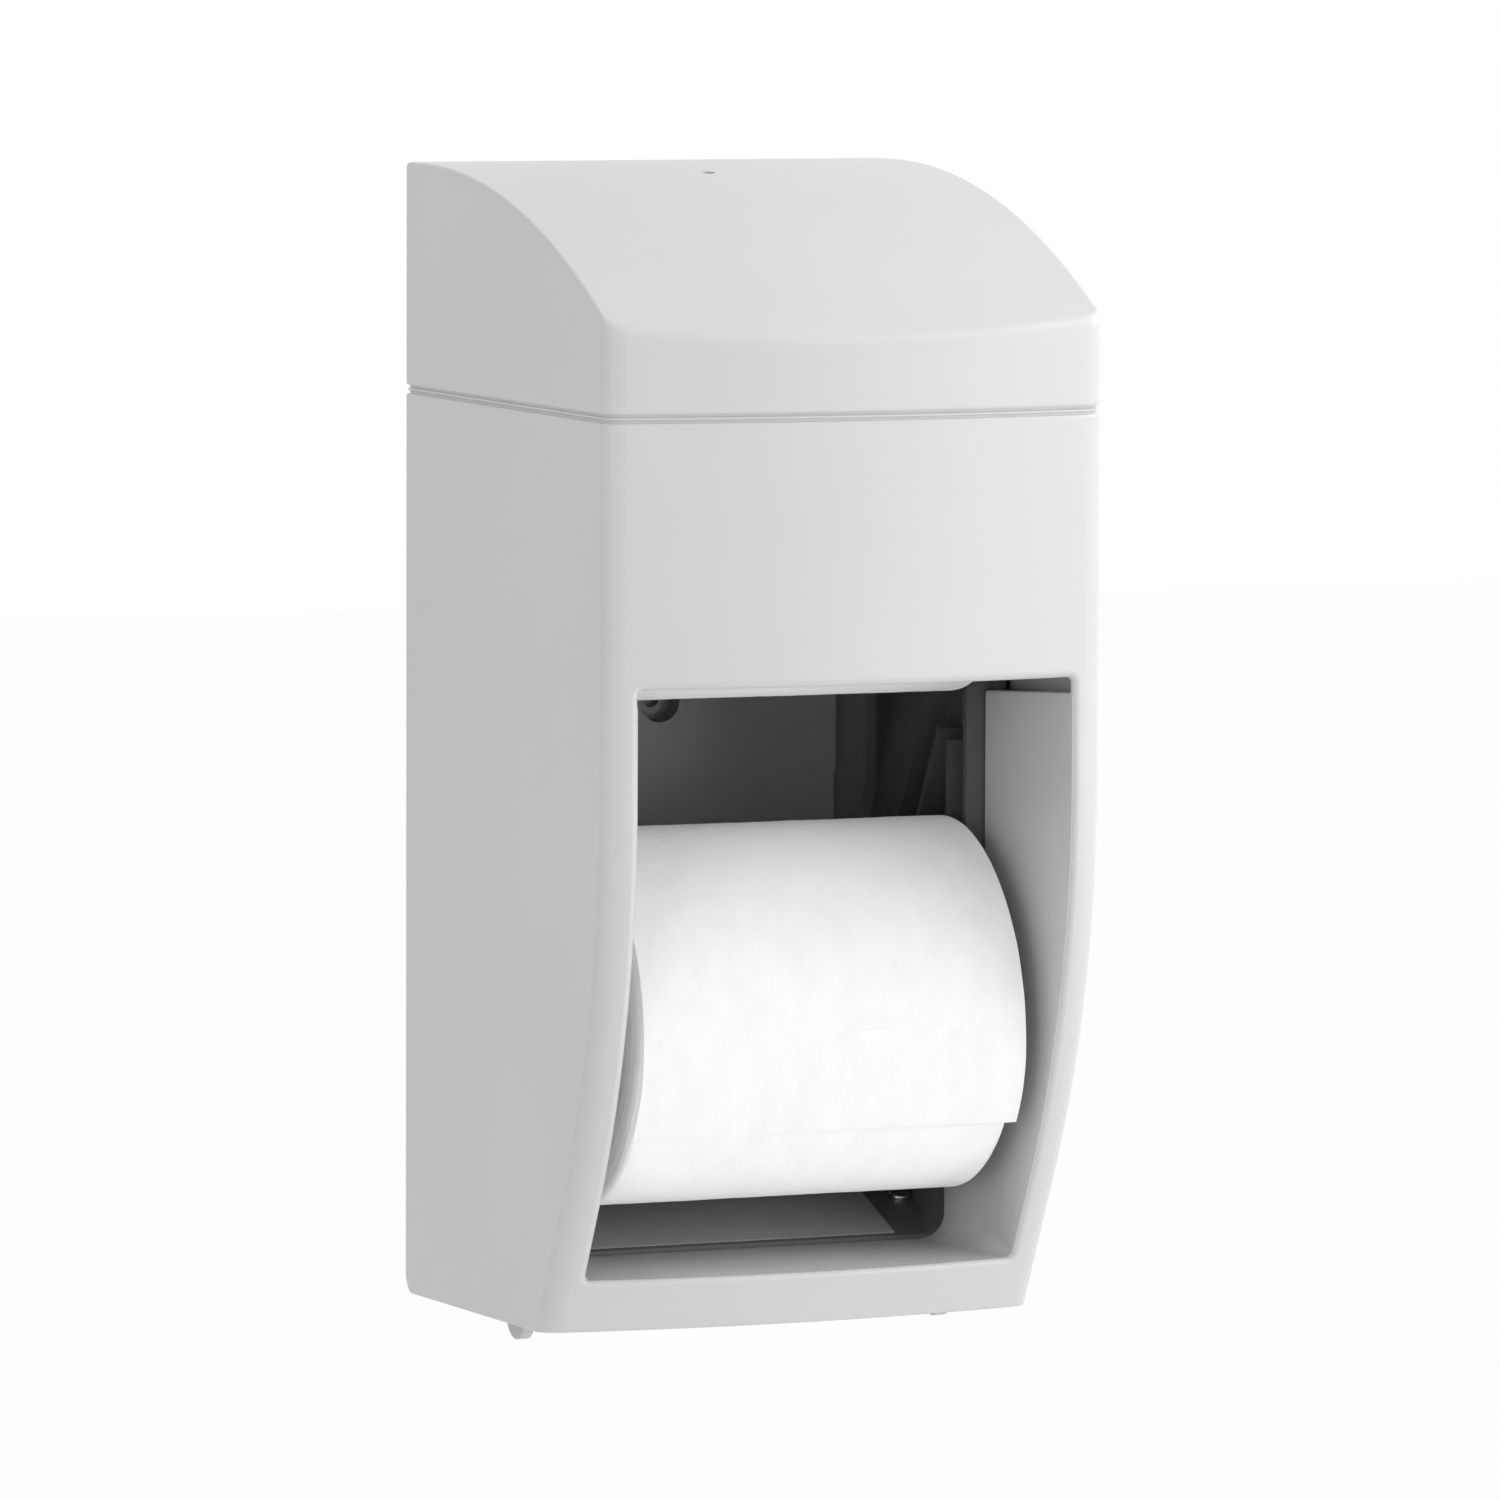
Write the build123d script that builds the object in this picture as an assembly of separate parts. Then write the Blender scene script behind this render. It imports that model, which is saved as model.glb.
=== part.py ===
from build123d import *
import os
from math import cos, radians, sin, sqrt, tan

# Two-roll toilet paper dispenser for a wall.
# Millimetres. X runs to the right seen from the front, the wall is the plane Y = 0, the front faces -Y.
# While a piece is drawn, its height is counted from the rear bottom edge of the cover.
# write() lowers it by half the height, so the origin is on the wall, at the middle of the back plate.

# Cover: overall sizes
HEIGHT = 343.0
WIDTH = 156.0
CORNER_DEPTH = 167.0
BOW = 8.0
CORNER_RADIUS = 8.0
COVER_WALL = 2.5
COVER_WALL_GAP = 0.5

# Cover: the front leans back below this height, first along an arc and then straight
BEND_TOP = 165.0
BEND_RADIUS = 260.0
BEND_ANGLE = 27.5
BOTTOM_RISE = 4.0
PLAN_REAR_SHARE = 0.6

# Cover: the dome, an arc that starts level at this distance from the wall
DOME_START = 13.0
DOME_RADIUS = 306.0

# Cover: seam between the lower shell and the cap, with a bead in the groove
SEAM_DROP = 68.2
SEAM_WIDTH = 2.6
SEAM_DEPTH = 1.5
BEAD_WIDTH = 1.0
BEAD_SINK = 0.6
SPIGOT_WALL = 2.0
SPIGOT_REACH = 9.0

# Cover: window, paper guides beside it, and sill
GUIDE_CLEARANCE = 0.5
WINDOW_TOP = 197.0
WINDOW_CORNER = 3.0
SILL_HEIGHT = 20.5
GUIDE_WALL = 2.0
GUIDE_REAR = 103.5
GUIDE_TOP_REAR = 188.0
GUIDE_TOP_FRONT = 193.0
TROUGH_REAR = 84.0
TROUGH_HEIGHT = 12.5
TROUGH_WALL = 2.2
TROUGH_ARC_REAR = 98.0
TROUGH_ARC_FRONT = 124.0
TROUGH_ARC_SHIFT = 1.0
TROUGH_ARC_SHARE = 0.3
HOLLOW_FRONT_INSET = 4.0
HOLLOW_REAR_INSET = 6.0
HOLLOW_TOP_INSET = 2.0

# Cover hinge
HINGE_DEPTH = 71.5
HINGE_HEIGHT = 7.5
HINGE_PIN_RADIUS = 2.5
HINGE_CLEARANCE = 0.08
HINGE_HEAD_RADIUS = 4.0
HINGE_HEAD_LENGTH = 2.0
HINGE_PIN_END_GAP = 1.0
KNUCKLE_RADIUS = 4.8
KNUCKLE_GAP = 0.3
KNUCKLE_LENGTH = 6.2
EAR_WALL = 3.5
EAR_RADIUS = 8.0
EAR_DROP = 12.0
EAR_TOP = 30.0
EAR_FOOT = 6.0

# Rolls and spindles
ROLL_RADIUS = 55.7
ROLL_WIDTH = 120.0
CORE_RADIUS = 21.5
CORE_WALL = 1.0
ROLL_DEPTH = 95.0
LOWER_ROLL_HEIGHT = 94.0
UPPER_ROLL_HEIGHT = 243.0
SPINDLE_CLEARANCE = 0.3
SPINDLE_END_INSET = 0.5
SPINDLE_COLLAR_WIDTH = 7.0
SPINDLE_BARREL_RADIUS = 13.0
SPINDLE_BARREL_WALL = 2.5
SPINDLE_FIN_WALL = 2.0
SPINDLE_FINS = 6
SPINDLE_FIN_INSET = 1.5
SPINDLE_FIN_SINK = 0.8
JOURNAL_RADIUS = 5.0
JOURNAL_END_GAP = 0.6
JOURNAL_SINK = 1.0

# Back plate
PLATE_WALL = 3.0
PLATE_BOTTOM = 24.0
PLATE_TOP_DROP = 11.0
PAD_WIDTH = 116.0
PAD_DEPTH = 12.0
PAD_WALL = 2.5
PAD_BOTTOM = 40.0
PAD_TOP_DROP = 39.0
PAD_STEP_HEIGHT = 156.0
PAD_STEP = 1.5
RIB_WALL = 2.0
PAD_RIB_SPACING = 37.0
PAD_RIB_OFFSET = 27.75

# Screw cups in the back plate: two on the centre line and two below, side by side
CUP_RADIUS = 6.5
CUP_WALL = 2.5
MOUNT_HOLE_RADIUS = 2.6
CUP_RING_RADIUS = 4.4
CUP_RING_HEIGHT = 1.5
CENTRE_CUP_LOW = 179.0
CENTRE_CUP_SPACING = 105.0
LOWER_CUP_HEIGHT = 64.0
LOWER_CUP_SPACING = 80.0

# Side frames with the spindle tracks
FRAME_CLEARANCE = 2.5
FRAME_WALL = 2.5
FRAME_FRONT = 108.0
FRAME_TOP = 264.0
FRAME_FOOT = 50.0
FRAME_LOW_EDGE = 15.0
FRAME_REAR_LOW = 30.0
TRACK_RIB_WALL = 2.5
TRACK_DEPTH = 8.0
TRACK_CLEARANCE = 0.3
SEAT_THICKNESS = 5.0
TRACK_TOP = 256.0
TRACK_REAR_LOW_END = 172.0
TRACK_REAR_GAP_TOP = 204.0
RIB_GAP = 0.5
RIB_SINK = 0.5
HOOK_CLEARANCE = 10.5
FLANGE_WALL = 2.5
FLANGE_INNER = 60.0

# Slanted rear channel that takes an empty spindle
CHANNEL_ANGLE = 29.5
CHANNEL_TOP_HEIGHT = 196.0
CHANNEL_TOP_DEPTH = 86.0
CHANNEL_LENGTH = 104.0
CHANNEL_ENTRY = 20.0
RAIL_THICKNESS = 19.0
RAIL_TOP = 200.0

# Release yoke that holds the reserve roll
YOKE_PIVOT_DEPTH = 75.0
YOKE_PIVOT_HEIGHT = 252.0
YOKE_PIN_RADIUS = 2.0
YOKE_CLEARANCE = 0.1
YOKE_BOSS_RADIUS = 5.5
YOKE_ARM_WALL = 5.0
YOKE_ARM_GAP = 1.5
YOKE_ROD_DEPTH = 24.0
YOKE_ROD_HEIGHT = 264.0
YOKE_ROD_RADIUS = 2.5
YOKE_LINK_WIDTH = 8.0
YOKE_SLIM_WIDTH = 6.4
YOKE_EYE_RADIUS = 4.8
YOKE_HEAD_GAP = 0.4
YOKE_HEAD_LENGTH = 1.0
YOKE_HEAD_RADIUS = 3.6
HOOK_GAP = 0.3
HOOK_THICKNESS = 5.5
HOOK_FRONT_GAP = 0.6
HOOK_REAR_GAP = 2.0
HOOK_OVERLAP = 4.0
NECK_INSET = 1.5
TAIL_DEPTH = 70.0
TAIL_BOTTOM = 206.0
STOP_RADIUS = 2.5
STOP_DEPTH = 48.0
STOP_GAP = 0.3

# Tray and label
TRAY_FRONT = 81.0
TRAY_FRONT_HEIGHT = 21.9
TRAY_ANGLE = 19.0
TRAY_WALL = 2.5
TRAY_SIDE_GAP = 0.5
TRAY_FLANGE_HEIGHT = 14.0
TRAY_FLANGE_WALL = 2.2
TRAY_LIP = 12.5
LABEL_WIDTH = 100.0
LABEL_LENGTH = 42.0
LABEL_THICKNESS = 0.3
LABEL_SETBACK = 1.6

# Latch
KEYHOLE_DEPTH = 50.0
KEYHOLE_RADIUS = 2.2
LATCH_PIVOT_DEPTH = 34.0
LATCH_PIVOT_DROP = 16.0
LATCH_PIN_RADIUS = 2.0
LATCH_CLEARANCE = 0.08
LATCH_WIDTH = 10.0
LATCH_THICKNESS = 4.0
LATCH_BOSS_RADIUS = 4.5
TOOTH_REAR = 12.0
TOOTH_THICKNESS = 4.5
TOOTH_DROP = 24.0
PRESS_TOP_DROP = 9.0
PRESS_LENGTH = 10.0
CHEEK_WALL = 2.5
CHEEK_GAP = 0.5
BRACKET_FRONT = 60.5
BRACKET_REAR = 27.0
BRACKET_DROP = 29.0
BRACKET_FLOOR = 2.0
SPRING_THICKNESS = 0.6
SPRING_WIDTH = 7.0
SPRING_GAP = 0.3
SPRING_END_INSET = 1.0
SPRING_TIP_INSET = 2.0
KEEPER_WIDTH = 24.0
KEEPER_WALL = 1.5
KEEPER_DROP = 37.5
KEEPER_SHELF_DROP = 26.0
KEEPER_LIP_DROP = 19.0
KEEPER_LIP_GAP = 0.7

# Screws
SCREW_RADIUS = 1.6
SCREW_HEAD_RADIUS = 3.4
SCREW_HEAD_HEIGHT = 2.2
SCREW_HEAD_ROUNDING = 0.99
SCREW_SLOT = 1.0
SCREW_SLOT_DEPTH = 0.8
SCREW_BITE_SHARE = 0.8
FRAME_SCREW_HEIGHTS = (70.0, 226.0)
KEEPER_SCREW_SPACING = 14.0
KEEPER_SCREW_RISE = 4.5
TRAY_SCREW_DEPTH = 58.0
TRAY_SCREW_INSET = 4.5
TRAY_BOSS_RADIUS = 4.0
TRAY_BOSS_LENGTH = 8.0
TRAY_BOSS_SINK = 1.0
TRAY_BORE_END = 2.0
TRAY_SCREW_BITE = 5.6

# Worked out from the sizes above
HALF_WIDTH = WIDTH / 2
INNER_HALF_WIDTH = HALF_WIDTH - COVER_WALL
FRAME_OUTER = INNER_HALF_WIDTH - FRAME_CLEARANCE
FRAME_INNER = FRAME_OUTER - FRAME_WALL
WINDOW_WIDTH = 2 * (FRAME_INNER - GUIDE_CLEARANCE - GUIDE_WALL)
TRACK_INNER = FRAME_INNER - TRACK_DEPTH
BOW_RADIUS = (HALF_WIDTH**2 + BOW**2) / (2 * BOW)
BEND_AXIS = Axis((0, BEND_RADIUS - CORNER_DEPTH, BEND_TOP), (1, 0, 0))
SEAM_HEIGHT = HEIGHT - SEAM_DROP
SEAM_LOW = SEAM_HEIGHT - SEAM_WIDTH / 2
SEAM_HIGH = SEAM_HEIGHT + SEAM_WIDTH / 2
EAR_OUTER = INNER_HALF_WIDTH - KNUCKLE_LENGTH - KNUCKLE_GAP
EAR_INNER = EAR_OUTER - EAR_WALL
TRACK_HALF = JOURNAL_RADIUS + TRACK_CLEARANCE
YOKE_OUTER = FRAME_INNER - YOKE_ARM_GAP
YOKE_INNER = YOKE_OUTER - YOKE_ARM_WALL
PLATE_TOP = HEIGHT - PLATE_TOP_DROP
PAD_TOP = HEIGHT - PAD_TOP_DROP
LATCH_PIVOT_HEIGHT = HEIGHT - LATCH_PIVOT_DROP
BRACKET_BOTTOM = HEIGHT - BRACKET_DROP
KEEPER_BOTTOM = HEIGHT - KEEPER_DROP
KEEPER_SHELF = HEIGHT - KEEPER_SHELF_DROP

# Cutting shapes run past what they cut by OVERCUT, and FAR is beyond every piece
OVERCUT = 20.0
FAR = 400.0


def plan_face(inset):
    """Plan outline of the cover at its full width, moved inwards by inset. Its rear runs past the wall."""
    half = HALF_WIDTH - inset
    radius = BOW_RADIUS - inset
    centre_y = BOW_RADIUS - CORNER_DEPTH - BOW
    corner_y = centre_y - sqrt(radius**2 - half**2)
    rear_y = (BEND_RADIUS - CORNER_DEPTH) * PLAN_REAR_SHARE
    sides = Polyline((-half, corner_y), (-half, rear_y), (half, rear_y), (half, corner_y))
    front = ThreePointArc((half, corner_y), (0, centre_y - radius), (-half, corner_y))
    face = make_face(sides + front)
    corners = face.vertices().sort_by(Axis.Y)[:2]
    return fillet(corners, CORNER_RADIUS - inset)


def side_prism(inset, rear_y, bottom):
    """Everything between the bottom edge and the dome, seen from the side, across the whole width."""
    centre_z = HEIGHT - DOME_RADIUS
    radius = DOME_RADIUS - inset
    front_y = -CORNER_DEPTH - BOW - OVERCUT
    reach = -front_y - DOME_START
    end = (front_y, centre_z + sqrt(radius**2 - reach**2))
    middle_y = -DOME_START - reach / 2
    middle = (middle_y, centre_z + sqrt(radius**2 - (reach / 2) ** 2))
    start = (-DOME_START, centre_z + radius)
    slope = BOTTOM_RISE / front_bottom_depth()
    low_front = (front_y, bottom - front_y * slope)
    low_rear = (rear_y, bottom - rear_y * slope)
    outline = Polyline(end, low_front, low_rear, (rear_y, start[1]), start)
    outline += ThreePointArc(start, middle, end)
    face = make_face(Plane.YZ * outline)
    return extrude(face, FAR / 2, both=True)


def front_bottom_depth():
    """Distance from the wall to the cover's front bottom edge at its corners."""
    angle = radians(BEND_ANGLE)
    arc_drop = BEND_RADIUS * sin(angle)
    arc_back = BEND_RADIUS * (1 - cos(angle))
    return CORNER_DEPTH - arc_back - (BEND_TOP - arc_drop) * tan(angle)


def front_depth(height, inset=0.0):
    """Distance from the wall to the front at its corners, at one height, below the bend."""
    angle = radians(BEND_ANGLE)
    radius = BEND_RADIUS - inset
    drop = BEND_TOP - height
    if drop <= radius * sin(angle):
        return CORNER_DEPTH - BEND_RADIUS + sqrt(radius**2 - drop**2)
    arc_end = CORNER_DEPTH - BEND_RADIUS + radius * cos(angle)
    return arc_end - (drop - radius * sin(angle)) * tan(angle)


def cover_volume(inset, rear_y, bottom):
    """The solid inside the cover's outer surface, moved inwards by inset."""
    face = Pos(0, 0, BEND_TOP) * plan_face(inset)
    upper = extrude(face, HEIGHT - BEND_TOP + OVERCUT)
    bend = revolve(face, BEND_AXIS, BEND_ANGLE)
    tilted = face.rotate(BEND_AXIS, BEND_ANGLE)
    angle = radians(BEND_ANGLE)
    lower = extrude(tilted, FAR, dir=(0, sin(angle), -cos(angle)))
    return (upper + bend + lower) & side_prism(inset, rear_y, bottom)


def block(x_range, y_range, z_range):
    """A box between two X, two Y and two Z values."""
    low = [min(pair) for pair in (x_range, y_range, z_range)]
    size = [abs(pair[1] - pair[0]) for pair in (x_range, y_range, z_range)]
    return Pos(*low) * Box(*size, align=(Align.MIN, Align.MIN, Align.MIN))


def rod(radius, x_range, depth, height):
    """A round bar along X, at a depth from the wall and a height."""
    length = abs(x_range[1] - x_range[0])
    middle = (x_range[0] + x_range[1]) / 2
    return Pos(middle, -depth, height) * Rot(0, 90, 0) * Cylinder(radius, length)


def side_plate(points, x_range):
    """A plate of constant thickness in X, from its (depth, height) corners."""
    face = make_face(Plane.YZ * Polyline(*[(-depth, height) for depth, height in points], close=True))
    length = x_range[1] - x_range[0]
    return extrude(Pos(x_range[0], 0, 0) * face, length, dir=(1, 0, 0))


def both_sides(right):
    """The right-hand solid and its mirror image."""
    return right, mirror(right, about=Plane.YZ)


def write(name, shape):
    """Write one sub-part, lowered so that the origin is on the wall at half the height."""
    shape = Pos(0, 0, -HEIGHT / 2) * shape
    shape.label = name
    export_step(shape, "parts/" + name + ".step")


def cover_skin():
    """The cover's wall, closed all round but for its open back and bottom."""
    outer = cover_volume(0, -COVER_WALL_GAP, 0)
    inner = cover_volume(COVER_WALL, OVERCUT, -OVERCUT)
    return outer - inner


def band(inset_out, inset_in, z_range):
    """A strip that follows the cover's sides and front, between two insets and two heights."""
    outer = cover_volume(inset_out, -COVER_WALL_GAP, 0)
    inner = cover_volume(inset_in, OVERCUT, -OVERCUT)
    return (outer - inner) & block((-FAR, FAR), (-FAR, FAR), z_range)


def paper_guide():
    """The right-hand guide: a flat wall that runs back from the window's edge."""
    inner_x = WINDOW_WIDTH / 2
    front = CORNER_DEPTH + BOW
    points = [
        (GUIDE_REAR, TROUGH_HEIGHT - TROUGH_WALL),
        (front, TROUGH_HEIGHT - TROUGH_WALL),
        (front, GUIDE_TOP_FRONT),
        (GUIDE_REAR, GUIDE_TOP_REAR),
    ]
    plate = side_plate(points, (inner_x, inner_x + GUIDE_WALL))
    return plate & cover_volume(COVER_WALL / 2, -COVER_WALL_GAP, 0)


def sill_trough():
    """The cover's floor: a trough that rises to the sill."""
    half = WINDOW_WIDTH / 2 + GUIDE_WALL
    front = CORNER_DEPTH
    low = TROUGH_HEIGHT - TROUGH_WALL
    middle_depth = (TROUGH_ARC_REAR + TROUGH_ARC_FRONT) / 2 + TROUGH_ARC_SHIFT
    middle = TROUGH_HEIGHT + (SILL_HEIGHT - TROUGH_HEIGHT) * TROUGH_ARC_SHARE
    outline = Polyline((-TROUGH_ARC_FRONT, SILL_HEIGHT), (-front, SILL_HEIGHT), (-front, low),
                       (-TROUGH_REAR, low), (-TROUGH_REAR, TROUGH_HEIGHT), (-TROUGH_ARC_REAR, TROUGH_HEIGHT))
    outline += ThreePointArc((-TROUGH_ARC_REAR, TROUGH_HEIGHT), (-middle_depth, middle),
                             (-TROUGH_ARC_FRONT, SILL_HEIGHT))
    solid = extrude(make_face(Plane.YZ * outline), half, both=True)
    hollow_front = front_depth(low, COVER_WALL) - HOLLOW_FRONT_INSET
    points = [
        (TROUGH_ARC_REAR + HOLLOW_REAR_INSET, low - OVERCUT),
        (hollow_front + BOW, low - OVERCUT),
        (hollow_front + BOW, SILL_HEIGHT - TROUGH_WALL),
        (TROUGH_ARC_FRONT + HOLLOW_TOP_INSET, SILL_HEIGHT - TROUGH_WALL),
    ]
    solid -= side_plate(points, (-half + GUIDE_WALL, half - GUIDE_WALL))
    return solid & cover_volume(COVER_WALL / 2, -COVER_WALL_GAP, 0)


def window_cut():
    """What the window takes out of the front wall."""
    height = WINDOW_TOP - SILL_HEIGHT
    face = RectangleRounded(WINDOW_WIDTH, height, WINDOW_CORNER)
    plane = Plane((0, -GUIDE_REAR, SILL_HEIGHT + height / 2), x_dir=(1, 0, 0), z_dir=(0, -1, 0))
    return extrude(plane * face, FAR)


def knuckle():
    """The right-hand hinge knuckle, inside the cover's side wall, with its blind bore."""
    inner_x = EAR_OUTER + KNUCKLE_GAP
    return rod(KNUCKLE_RADIUS, (inner_x, INNER_HALF_WIDTH + COVER_WALL / 2), HINGE_DEPTH, HINGE_HEIGHT)


def knuckle_bore():
    """The bore that turns on the right-hand hinge pin."""
    radius = HINGE_PIN_RADIUS + HINGE_CLEARANCE
    return rod(radius, (EAR_OUTER, INNER_HALF_WIDTH), HINGE_DEPTH, HINGE_HEIGHT)


def cover_shell():
    """The lower shell: walls, window, guides, sill trough, hinge knuckles and the spigot for the cap."""
    shell = cover_skin() & block((-FAR, FAR), (-FAR, FAR), (-OVERCUT, SEAM_LOW))
    shell -= window_cut()
    shell += band(SEAM_DEPTH, COVER_WALL + SPIGOT_WALL, (SEAM_LOW - SPIGOT_REACH, SEAM_HIGH))
    shell += band(COVER_WALL, COVER_WALL + SPIGOT_WALL, (SEAM_HIGH, SEAM_HIGH + SPIGOT_REACH))
    bead_range = (SEAM_HEIGHT - BEAD_WIDTH / 2, SEAM_HEIGHT + BEAD_WIDTH / 2)
    shell += band(BEAD_SINK, COVER_WALL, bead_range)
    shell += sill_trough()
    for guide in both_sides(paper_guide()):
        shell += guide
    for boss in both_sides(knuckle()):
        shell += boss
    for bore in both_sides(knuckle_bore()):
        shell -= bore
    return shell


def cover_cap():
    """The domed cap, with the keyhole for the latch."""
    cap = cover_skin() & block((-FAR, FAR), (-FAR, FAR), (SEAM_HIGH, HEIGHT + OVERCUT))
    keyhole = Pos(0, -KEYHOLE_DEPTH, HEIGHT) * Cylinder(KEYHOLE_RADIUS, 2 * OVERCUT)
    return cap - keyhole


def cup_places():
    """The (x, height) of each screw cup."""
    centre = [(0, CENTRE_CUP_LOW), (0, CENTRE_CUP_LOW + CENTRE_CUP_SPACING)]
    lower = [(side * LOWER_CUP_SPACING / 2, LOWER_CUP_HEIGHT) for side in (-1, 1)]
    return centre + lower


def wall_disc(radius, place, y_range):
    """A round disc that faces the wall."""
    x, height = place
    length = abs(y_range[1] - y_range[0])
    middle = (y_range[0] + y_range[1]) / 2
    return Pos(x, middle, height) * Rot(90, 0, 0) * Cylinder(radius, length)


def pad_pockets():
    """The hollows behind the raised pad, between its ribs."""
    half = PAD_WIDTH / 2 - PAD_WALL
    low = PAD_BOTTOM + PAD_WALL
    high = PAD_TOP - PAD_WALL
    upper = block((-half, half), (-PAD_DEPTH + PAD_WALL, OVERCUT), (PAD_STEP_HEIGHT, high))
    lower = block((-half, half), (-PAD_DEPTH + PAD_STEP + PAD_WALL, OVERCUT), (low, PAD_STEP_HEIGHT))
    pockets = upper + lower
    ribs_up = int((high - low) / PAD_RIB_SPACING)
    for number in range(1, ribs_up + 1):
        height = low + number * (high - low) / (ribs_up + 1)
        rib = (height - RIB_WALL / 2, height + RIB_WALL / 2)
        pockets -= block((-half, half), (-PAD_DEPTH, OVERCUT), rib)
    for x in (-PAD_RIB_OFFSET, PAD_RIB_OFFSET):
        pockets -= block((x - RIB_WALL / 2, x + RIB_WALL / 2), (-PAD_DEPTH, OVERCUT), (low, high))
    return pockets


def back_plate():
    """The moulded back: a plate on the wall, with a hollow raised pad and four screw cups."""
    plate = block((-FRAME_OUTER, FRAME_OUTER), (-PLATE_WALL, 0), (PLATE_BOTTOM, PLATE_TOP))
    half = PAD_WIDTH / 2
    plate += block((-half, half), (-PAD_DEPTH, 0), (PAD_STEP_HEIGHT, PAD_TOP))
    plate += block((-half, half), (-PAD_DEPTH + PAD_STEP, 0), (PAD_BOTTOM, PAD_STEP_HEIGHT))
    plate -= pad_pockets()
    for place in cup_places():
        front = -PAD_DEPTH if place[1] > PAD_STEP_HEIGHT else -PAD_DEPTH + PAD_STEP
        plate += wall_disc(CUP_RADIUS + CUP_WALL, place, (front, 0))
        plate -= wall_disc(CUP_RADIUS, place, (-PAD_DEPTH - OVERCUT, -PLATE_WALL))
        plate += wall_disc(CUP_RING_RADIUS, place, (-PLATE_WALL - CUP_RING_HEIGHT, -PLATE_WALL / 2))
        plate -= wall_disc(MOUNT_HOLE_RADIUS, place, (-PAD_DEPTH, OVERCUT))
    for x, height in frame_screw_places() + keeper_screw_places():
        plate -= wall_disc(SCREW_RADIUS, (x, height), (-PAD_DEPTH, OVERCUT))
    return plate


def slanted_place(along, across):
    """A (depth, height) point, along the channel's centre line from its top and across it to the rear."""
    angle = radians(CHANNEL_ANGLE)
    depth = CHANNEL_TOP_DEPTH - along * sin(angle) - across * cos(angle)
    height = CHANNEL_TOP_HEIGHT - along * cos(angle) + across * sin(angle)
    return depth, height


def slanted_bar(along_range, across_range):
    """A bar that follows the slanted channel."""
    corners = [(along_range[0], across_range[0]), (along_range[1], across_range[0]),
               (along_range[1], across_range[1]), (along_range[0], across_range[1])]
    return side_plate([slanted_place(*corner) for corner in corners], (TRACK_INNER, FRAME_INNER + RIB_SINK))


def track_ribs():
    """The ribs that guide a spindle: the upright front track and the slanted rear channel."""
    front = ROLL_DEPTH + TRACK_HALF
    rear = ROLL_DEPTH - TRACK_HALF
    seat_top = LOWER_ROLL_HEIGHT - JOURNAL_RADIUS - TRACK_CLEARANCE
    layer = (TRACK_INNER, FRAME_INNER + RIB_SINK)
    upright = block(layer, (-front - TRACK_RIB_WALL, -front), (seat_top - SEAT_THICKNESS, TRACK_TOP))
    rear_y = (-rear, -rear + TRACK_RIB_WALL)
    hook_low = UPPER_ROLL_HEIGHT - JOURNAL_RADIUS - HOOK_THICKNESS - HOOK_CLEARANCE
    ribs = upright + block(layer, rear_y, (seat_top - SEAT_THICKNESS, TRACK_REAR_LOW_END))
    ribs += block(layer, rear_y, (TRACK_REAR_GAP_TOP, hook_low))
    seat_y = (-front - TRACK_RIB_WALL, -rear + TRACK_RIB_WALL)
    ribs += block(layer, seat_y, (seat_top - SEAT_THICKNESS, seat_top))
    channel_front = -TRACK_HALF - TRACK_RIB_WALL
    channel_rear = TRACK_HALF + RAIL_THICKNESS
    ribs += slanted_bar((CHANNEL_ENTRY, CHANNEL_LENGTH), (channel_front, -TRACK_HALF))
    rail = slanted_bar((0, CHANNEL_LENGTH), (TRACK_HALF, channel_rear))
    ribs += rail & block((0, FAR), (-FAR, 0), (0, RAIL_TOP))
    ribs += slanted_bar((CHANNEL_LENGTH, CHANNEL_LENGTH + SEAT_THICKNESS), (channel_front, channel_rear))
    return ribs & block((0, FAR), (-FAR, -PAD_DEPTH - RIB_GAP), (0, FAR))


def stop_height():
    """Height of the stop peg's centre: the yoke's link rests just above it."""
    run = YOKE_PIVOT_DEPTH - YOKE_ROD_DEPTH
    rise = YOKE_ROD_HEIGHT - YOKE_PIVOT_HEIGHT
    slope = rise / run
    link_centre = YOKE_PIVOT_HEIGHT + (YOKE_PIVOT_DEPTH - STOP_DEPTH) * slope
    across = sqrt(1 + slope**2)
    return link_centre - (YOKE_LINK_WIDTH / 2 + STOP_RADIUS + STOP_GAP) * across


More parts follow.
